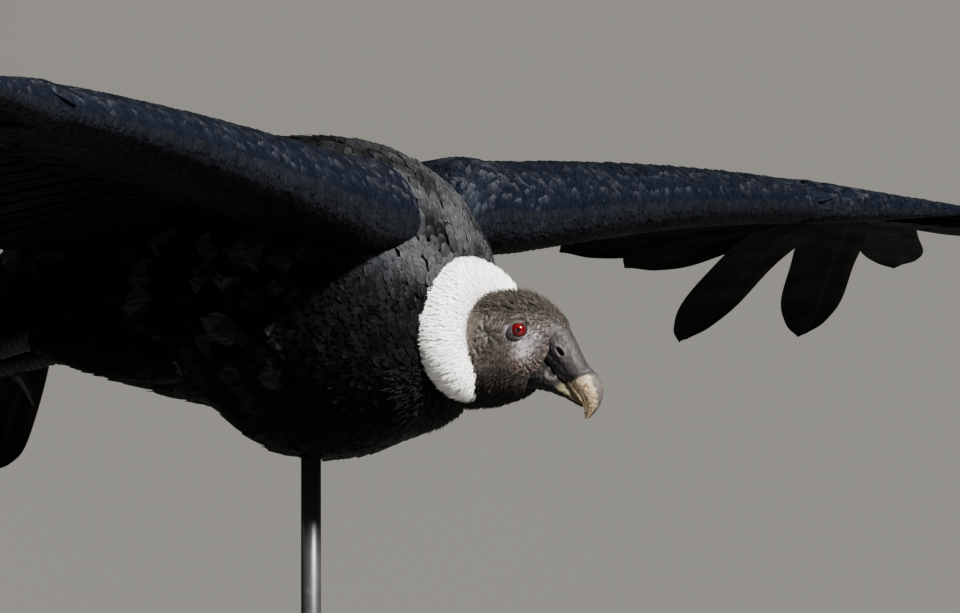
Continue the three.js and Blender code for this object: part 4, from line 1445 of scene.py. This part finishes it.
def make_leg_and_tail_coverts(colours, sizes):
    """The thighs' feathers, and the long coverts over and under the tail."""
    rng = np.random.default_rng(23)
    plumes = Plumes()
    for side in (1, -1):
        surface = outer_surface(tube_rings(thigh_path(), thigh_radius, 60, 60))
        v, rows = scatter_rows([12.0] * 14, 240, rng)
        u = (rows + rng.uniform(-0.2, 0.2, len(rows))) / 15
        turn, high = rng.normal(0, 0.12, len(u)), rng.normal(1, 0.8, len(u))
        grid = lay(surface, u, v, turn, 34, 20, -5, high, cup=1.0)
        shades = marked(grid, BLACK, (0.02, 0.016, 0.013), rng.uniform(0.1, 0.6, len(u)))
        uv = np.stack([(0.05 if side > 0 else 0.55) + 0.4 * u, 0.05 + 0.4 * (v % 1)], -1)
        plumes.add(grid, shades, uv, mirror=side < 0)
    root = spot(0, TAIL["forward"], TAIL["height"])
    for over in (1, -1):
        for ring, (behind, length, count) in enumerate(TAIL_COVERTS):
            out = np.linspace(-40, 40, count) + rng.normal(0, 1.5, count)
            ways = np.stack([heading(a, TAIL["pitch"] - 4 * over) for a in out])
            starts = root + ways * behind + np.array([0, 0, over * (5 + 2.4 * ring)])
            leads = leading(ways) * over
            along, wide = (np.asarray(x)[None, :, None] for x in ROUND_VANE)
            b = np.linspace(-1, 1, 5)[None, None, :]
            up = np.cross(ways, leads)
            grid = (starts[:, None, None] + ways[:, None, None] * (along * length)[..., None]
                    + leads[:, None, None] * (b * wide * 17)[..., None]
                    + up[:, None, None] * (2 * along - 1.4 * b**2 - 5 * along**2)[..., None])
            shades = marked(grid, BLACK, (0.02, 0.019, 0.019), rng.uniform(0.1, 0.5, count))
            row = 0.55 + 0.05 * ring + (0.2 if over < 0 else 0)
            uv = np.stack([0.05 + 0.9 * (out + 50) / 100, np.full(count, row)], -1)
            plumes.add(grid, shades, uv)
    material = feather_material("Thigh and tail coverts", 18, 0.45, colours)
    plumes.build("thigh_and_tail_coverts", material)


def make_ruff(colours, sizes):
    """The white collar: a soft core under many curved locks of down that lie out and back."""
    rng = np.random.default_rng(5)
    white = np.array(colours.down)
    core, centre = ruff_surface()
    points, quads, tris = closed_loft(core.p)
    material = down_material("Ruff down", 0.92, 1.05, sheen=0.3)
    body = new_piece("ruff_core", points, outward(points, quads, tris), material,
                     np.broadcast_to(white * 0.93, points.shape))
    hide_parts("ruff")
    plumes = Plumes()
    count = sizes.ruff_locks
    u, v = rng.uniform(0, 1, count), rng.uniform(0, 1, count)
    p, n = core.at(u, v)
    radial = p - centre
    radial[:, 1] = 0
    radial = unit(radial)
    ends = unit(core.look(core.du, u, v)) * (smooth(0.93, 1.0, u) - smooth(0.07, 0.0, u))[:, None]
    way = radial * 0.75 + np.array([0, 0.75, -0.12]) + ends * 1.5 + rng.normal(0, 0.25, (count, 3))
    turn = core.turn_to(u, v, way)
    outer = np.clip((n * radial).sum(-1), 0, 1)
    length = sizes.ruff_length * rng.uniform(0.7, 1.25, count) * (0.75 + 0.35 * outer)
    high = rng.uniform(0.5, 4.0, count) + 2.0 * outer * rng.uniform(0, 1, count)
    grid = lay(core, u, v, turn, length, rng.uniform(0.8, 1.9, count), 0.0, high, shape=LOCK, cols=2)
    tone = each(rng.uniform(0.94, 1.04, count))
    shades = np.clip(white * tone, 0, 0.95) + np.zeros(grid.shape)
    uv = np.stack([0.02 + 0.96 * u, 0.02 + 0.96 * v], -1)
    plumes.add(grid, shades, uv)
    plumes.build("ruff_down", material)


def make_head_down(colours, sizes):
    """Short dark down on the crown, forehead and throat, and scattered bristles on the face."""
    rng = np.random.default_rng(17)
    rows = np.linspace(0, 0.42, 260)
    rings = body_rings(rows, 220, coat_depth(rows))
    surface = Surface(shape_face(rings))
    plumes = Plumes()
    count = sizes.bristles
    u, v = rng.uniform(0, 1, count), rng.uniform(0, 1, count)
    p, _ = surface.at(u, v)
    f, h, side = rel_eye(p)
    crown = smooth(9, 22, h) * smooth(-60, -20, f)
    brow = smooth(10, 16, f) * smooth(2, 12, h)
    throat = smooth(-33, -45, h)
    cheek = 0.28
    chance = np.clip(0.85 * crown + 0.9 * brow + 1.0 * throat + cheek, 0, 1)
    behind_cere = f < SKIN_FRONT + 0.9 * np.maximum(14 - side, 0)
    chance *= smooth(8.5, 12, np.hypot(f, h) + 30 * (side < 12)) * (f > -66) * behind_cere
    chance *= 1 - 0.85 * hump(f - 8, 9) * hump(h + 14, 12)
    keep = rng.uniform(0, 1, count) < chance
    u, v, f, h, throat = u[keep], v[keep], f[keep], h[keep], throat[keep]
    kept = len(u)
    way = np.stack([0 * f, 1.0 + 0 * f, 0.5 * smooth(0, 20, h) - 0.8 * throat], -1)
    turn = surface.turn_to(u, v, way + rng.normal(0, 0.35, (kept, 3)))
    longer = (1 + 1.5 * throat) * (0.7 + 0.8 * smooth(8, 22, h))
    length = sizes.bristle_length * rng.uniform(0.6, 1.3, kept) * longer
    high = length * rng.uniform(0.15, 0.5, kept) * (1 + 0.8 * smooth(12, 24, h))
    width = rng.uniform(0.3, 0.6, kept) * (1 + 2.0 * throat)
    grid = lay(surface, u, v, turn, length, width, -0.3, high, shape=LOCK, cols=2)
    dark, brown = np.array([0.009, 0.0078, 0.007]), np.array([0.066, 0.054, 0.044])
    share = each(rng.uniform(0, 1, kept) ** 2 * (1 - 0.8 * throat))
    shades = blended(dark, brown, share) + np.zeros(grid.shape)
    plumes.add(grid, shades, np.stack([u, v], -1) * 0.96 + 0.02)
    plumes.build("head_down", down_material("Head down", 0.8, 1.2, 0.75))


def make_throat_feathers(colours, sizes):
    """Loose black feathers where the throat meets the breast, inside the ruff's opening."""
    rng = np.random.default_rng(29)
    surface = body_surface()
    count = 2600
    u = rng.uniform(5.6, 9.6, count) / STATIONS
    v = rng.uniform(0.57, 0.93, count)
    turn, length = rng.normal(0, 0.3, count), rng.uniform(9, 17, count)
    width, high = rng.uniform(2.2, 4.2, count), rng.uniform(-0.5, 4.0, count)
    grid = lay(surface, u, v, turn, length, width, -5, high, shape=LOCK, cols=3, cup=0.5)
    shades = marked(grid, BLACK, (0.016, 0.0135, 0.012), rng.uniform(0, 0.6, count))
    plumes = Plumes()
    plumes.add(grid, shades, np.stack([u, v], -1) * 0.96 + 0.02)
    plumes.build("throat_feathers", down_material("Throat feathers", 0.8, 1.25, 0.6))


# Stand and stage
def spun(profile, sides):
    """Rings of a turned body, in metres, from radii and heights in millimetres."""
    angles = np.arange(sides) / sides * TURN
    return np.array([[(d * math.cos(a), d * math.sin(a), z) for a in angles] for d, z in profile]) * MM


def make_stand(colours):
    """The round plate, and the rod with a collar at its foot."""
    material = stand_material(colours)
    edge, top, r = STAND["bevel"], STAND["thickness"], STAND["radius"]
    sides = 160
    corner = np.linspace(math.pi / 2, 0, 7)
    bevel = [(r - edge + edge * math.sin(a), top - edge + edge * math.cos(a)) for a in corner]
    profile = [(1, 0), (r * 0.6, 0), (r - 1, 0), (r, 1)] + bevel + [(r * 0.6, top), (14, top), (1, top)]
    points, quads, tris = closed_loft(spun(profile, sides))
    base = new_piece("stand_plate", points, outward(points, quads, tris), material, world=True)
    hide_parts("stand_base")
    low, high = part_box("stand_rod")
    points, quads, tris = closed_loft(spun([(9, low[2] / MM + 0.2), (9, high[2] / MM)], sides // 4))
    faces = outward(points, quads, tris)
    collar = [(9.2, 0.05), (17, 0.05), (17, 5), (15.5, 7), (9.4, 9), (9.2, 9)]
    more = spun([(d, top + rise) for d, rise in collar + collar[:1]], sides).reshape(-1, 3)
    i, j = np.meshgrid(np.arange(len(collar)), np.arange(sides), indexing="ij")
    k = (j + 1) % sides
    corners = [i * sides + j, i * sides + k, (i + 1) * sides + k, (i + 1) * sides + j]
    shell = np.stack(corners, -1).reshape(-1, 4) + len(points)
    points = np.vstack([points, more])
    rod = new_piece("stand_upright", points, [faces[0], shell, faces[1]], material, world=True)
    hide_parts("stand_rod")


# Where the camera stands from the shoulders: degrees round the bird and up, metres away, the metres by
# which it looks past them to the right and down, and its lens in millimetres
VIEW = {"azimuth": 59.0, "elevation": 1.0, "distance": 9.0, "right": 0.0625, "down": 0.0924, "lens": 378.0}


def stage_light(name, way, far, size, power, target, colour=(1, 1, 1)):
    """A round area light at a distance from the target, and facing it."""
    lamp = bpy.data.lights.new(name, "AREA")
    lamp.shape, lamp.size, lamp.energy, lamp.color = "DISK", size, power, colour
    light = bpy.data.objects.new(name, lamp)
    way = unit(np.array(way))
    light.location = target + way * far
    light.rotation_euler = aim(-way)
    bpy.context.scene.collection.objects.link(light)


def aim(way):
    """The rotation that points a light or camera's -Z along a direction."""
    return Vector(way).to_track_quat("-Z", "Y").to_euler()


def make_stage(colours):
    """Camera, lights, a background that lights the bird less than it shows, and a floor."""
    a, e = math.radians(VIEW["azimuth"]), math.radians(VIEW["elevation"])
    target = SHOULDERS * MM
    back = np.array([-math.sin(a) * math.cos(e), -math.cos(a) * math.cos(e), math.sin(e)])
    right = np.array([math.cos(a), -math.sin(a), 0])
    up = np.cross(back, right)
    place = target + back * VIEW["distance"]
    looked_at = target + right * VIEW["right"] - up * VIEW["down"]
    camera = bpy.data.objects.new("Camera", bpy.data.cameras.new("Camera"))
    camera.data.lens, camera.data.sensor_width, camera.data.clip_end = VIEW["lens"], 36.0, 200.0
    camera.location = place
    camera.rotation_euler = aim(looked_at - place)
    bpy.context.scene.collection.objects.link(camera)
    bpy.context.scene.camera = camera
    stage_light("Key", 0.52 * right + 0.62 * up + 0.62 * back, 7.0, 0.9, 2600, target, (1.0, 0.97, 0.92))
    stage_light("Fill", -0.5 * right + 0.1 * up + 0.9 * back, 8.0, 4.0, 50, target, (0.9, 0.95, 1.0))
    stage_light("Sky", np.array([0, 0, 1.0]) - 0.3 * back, 6.0, 5.0, 70, target, (0.88, 0.94, 1.0))
    world = bpy.data.worlds.new("Studio")
    world.use_nodes = True
    nodes, links = world.node_tree.nodes, world.node_tree.links
    cloudy = nodes.new("ShaderNodeTexNoise")
    cloudy.inputs["Scale"].default_value = 9.0
    cloudy.inputs["Detail"].default_value = 1.0
    soft = nodes.new("ShaderNodeMix")
    soft.data_type = "RGBA"
    soft.inputs[6].default_value = (*(c * 0.9 for c in colours.backdrop), 1)
    soft.inputs[7].default_value = (*(c * 1.12 for c in colours.backdrop), 1)
    links.new(nodes.new("ShaderNodeTexCoord").outputs["Generated"], cloudy.inputs["Vector"])
    links.new(cloudy.outputs[0], soft.inputs[0])
    links.new(soft.outputs[2], nodes["Background"].inputs[0])
    seen = nodes.new("ShaderNodeLightPath").outputs["Is Camera Ray"]
    power = nodes.new("ShaderNodeMapRange")
    power.inputs["To Min"].default_value = 0.3
    links.new(seen, power.inputs["Value"])
    links.new(power.outputs[0], nodes["Background"].inputs[1])
    bpy.context.scene.world = world
    shade = Shade("Floor", Roughness=0.85, Specular_IOR_Level=0.1)
    tone = shade.between(shade.noise(1.3, 3.0), 0.3, 0.7)
    material = shade.finish(Base_Color=shade.mix(tone, (0.10, 0.097, 0.092, 1), (0.115, 0.111, 0.105, 1)))
    rim = spun([(4600, 0)], 128)[0]
    mesh = bpy.data.meshes.new("Floor")
    mesh.from_pydata(rim.tolist(), [], [list(range(len(rim)))])
    mesh.materials.append(material)
    floor = bpy.data.objects.new("Floor", mesh)
    bpy.context.scene.collection.objects.link(floor)
    floor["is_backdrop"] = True


# Add-on
def colour_property(name, description, default):
    """A colour that the add-on's user can set."""
    return bpy.props.FloatVectorProperty(
        name=name, description=description, subtype="COLOR", size=3, min=0, max=1, default=default)


class CondorColours(bpy.types.PropertyGroup):
    """Colours of the condor, its stand and the background"""

    gloss: colour_property("Feather gloss", "Tint of the black feathers' reflected light", (0.55, 0.70, 1.0))
    down: colour_property("Ruff", "Colour of the white ruff", (0.93, 0.925, 0.905))
    iris: colour_property("Iris", "Colour of the eyes", (0.088, 0.0012, 0.0026))
    slate: colour_property("Bill base", "Colour of the bill's dark base", (0.018, 0.0160, 0.0167))
    ivory: colour_property("Bill tip", "Colour of the bill's pale tip", (0.36, 0.29, 0.185))
    stand: colour_property("Stand", "Colour of the display stand's paint", (0.022, 0.022, 0.024))
    backdrop: colour_property("Background", "Colour of the background", (0.31, 0.297, 0.268))


class CondorSizes(bpy.types.PropertyGroup):
    """Sizes and numbers of small feathers"""

    scale_length: bpy.props.FloatProperty(
        name="Neck feathers", description="Length of the smallest feathers, in millimetres",
        default=11, min=6, max=30)
    covert_length: bpy.props.FloatProperty(
        name="Smallest coverts", description="Length of the wing's foremost coverts, in millimetres",
        default=15, min=8, max=30)
    ruff_length: bpy.props.FloatProperty(
        name="Ruff locks", description="Length of the ruff's locks, in millimetres",
        default=13, min=5, max=25)
    ruff_locks: bpy.props.IntProperty(
        name="Ruff count", description="Number of locks in the ruff", default=30000, min=500)
    bristle_length: bpy.props.FloatProperty(
        name="Bristles", description="Length of the head's bristles, in millimetres",
        default=4.2, min=1, max=10)
    bristles: bpy.props.IntProperty(
        name="Bristle count", description="Number of places tried", default=30000, min=500)


def build_operator(word, label, text, make):
    """An operator class that makes one group of pieces."""
    def execute(self, context):
        make(context.scene.condor_colours, context.scene.condor_sizes)
        return {"FINISHED"}

    return type(f"CONDOR_OT_{word}", (bpy.types.Operator,), {
        "bl_idname": f"condor.{word}", "bl_label": label, "__doc__": text, "execute": execute})


OPERATORS = [
    build_operator("skin", "Skin", "Make the one skin under the plumage, bare on the head and feet",
                   lambda c, s: make_skin()),
    build_operator("eyes", "Eyes", "Make both eyes", lambda c, s: make_eyes(c)),
    build_operator("bill", "Bill", "Make the upper and lower bill", lambda c, s: make_bill(c)),
    build_operator("claws", "Claws", "Make the claws", lambda c, s: make_claws()),
    build_operator("flight_feathers", "Flight feathers", "Make the long feathers of wings and tail",
                   make_flight_feathers),
    build_operator("wing_coverts_left", "Left wing coverts", "Cover the left wing",
                   lambda c, s: make_wing_coverts(1, c, s)),
    build_operator("wing_coverts_right", "Right wing coverts", "Cover the right wing",
                   lambda c, s: make_wing_coverts(-1, c, s)),
    build_operator("hand_coverts", "Hand coverts", "Make the coverts of the primaries and the alula",
                   make_hand_coverts),
    build_operator("body_feathers", "Body feathers", "Cover the trunk", make_body_feathers),
    build_operator("rear_coverts", "Thigh and tail coverts", "Cover the thighs and the tail's base",
                   make_leg_and_tail_coverts),
    build_operator("throat_feathers", "Throat feathers", "Make the loose feathers of the throat",
                   make_throat_feathers),
    build_operator("ruff", "Ruff", "Make the white ruff", make_ruff),
    build_operator("head_down", "Head down", "Make the bristles and down of the head", make_head_down),
    build_operator("stand", "Stand", "Make the display stand", lambda c, s: make_stand(c)),
    build_operator("stage", "Stage", "Make the floor, background, lights and camera",
                   lambda c, s: make_stage(c)),
]


class CONDOR_PT_panel(bpy.types.Panel):
    """Lists what the condor is made of"""

    bl_idname = "CONDOR_PT_panel"
    bl_label = "Andean condor"
    bl_space_type = "VIEW_3D"
    bl_region_type = "UI"
    bl_category = "Condor"

    def draw(self, context):
        for group in (context.scene.condor_sizes, context.scene.condor_colours):
            for name in group.__annotations__:
                self.layout.prop(group, name)
        for operator in OPERATORS:
            self.layout.operator(operator.bl_idname)


CLASSES = [CondorColours, CondorSizes, *OPERATORS, CONDOR_PT_panel]


def register():
    for cls in CLASSES:
        bpy.utils.register_class(cls)
    bpy.types.Scene.condor_colours = bpy.props.PointerProperty(type=CondorColours)
    bpy.types.Scene.condor_sizes = bpy.props.PointerProperty(type=CondorSizes)


def unregister():
    del bpy.types.Scene.condor_sizes
    del bpy.types.Scene.condor_colours
    for cls in reversed(CLASSES):
        bpy.utils.unregister_class(cls)


def main():
    """Builds every piece through its operator, and writes the two boxes."""
    register()
    for operator in OPERATORS:
        group, name = operator.bl_idname.split(".")
        getattr(getattr(bpy.ops, group), name)()
    boxes = {"cad": CAD_BOX, "visual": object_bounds()}
    {key: [[float(x) for x in corner] for corner in box] for key, box in boxes.items()}


if __name__ == "__main__":
    main()
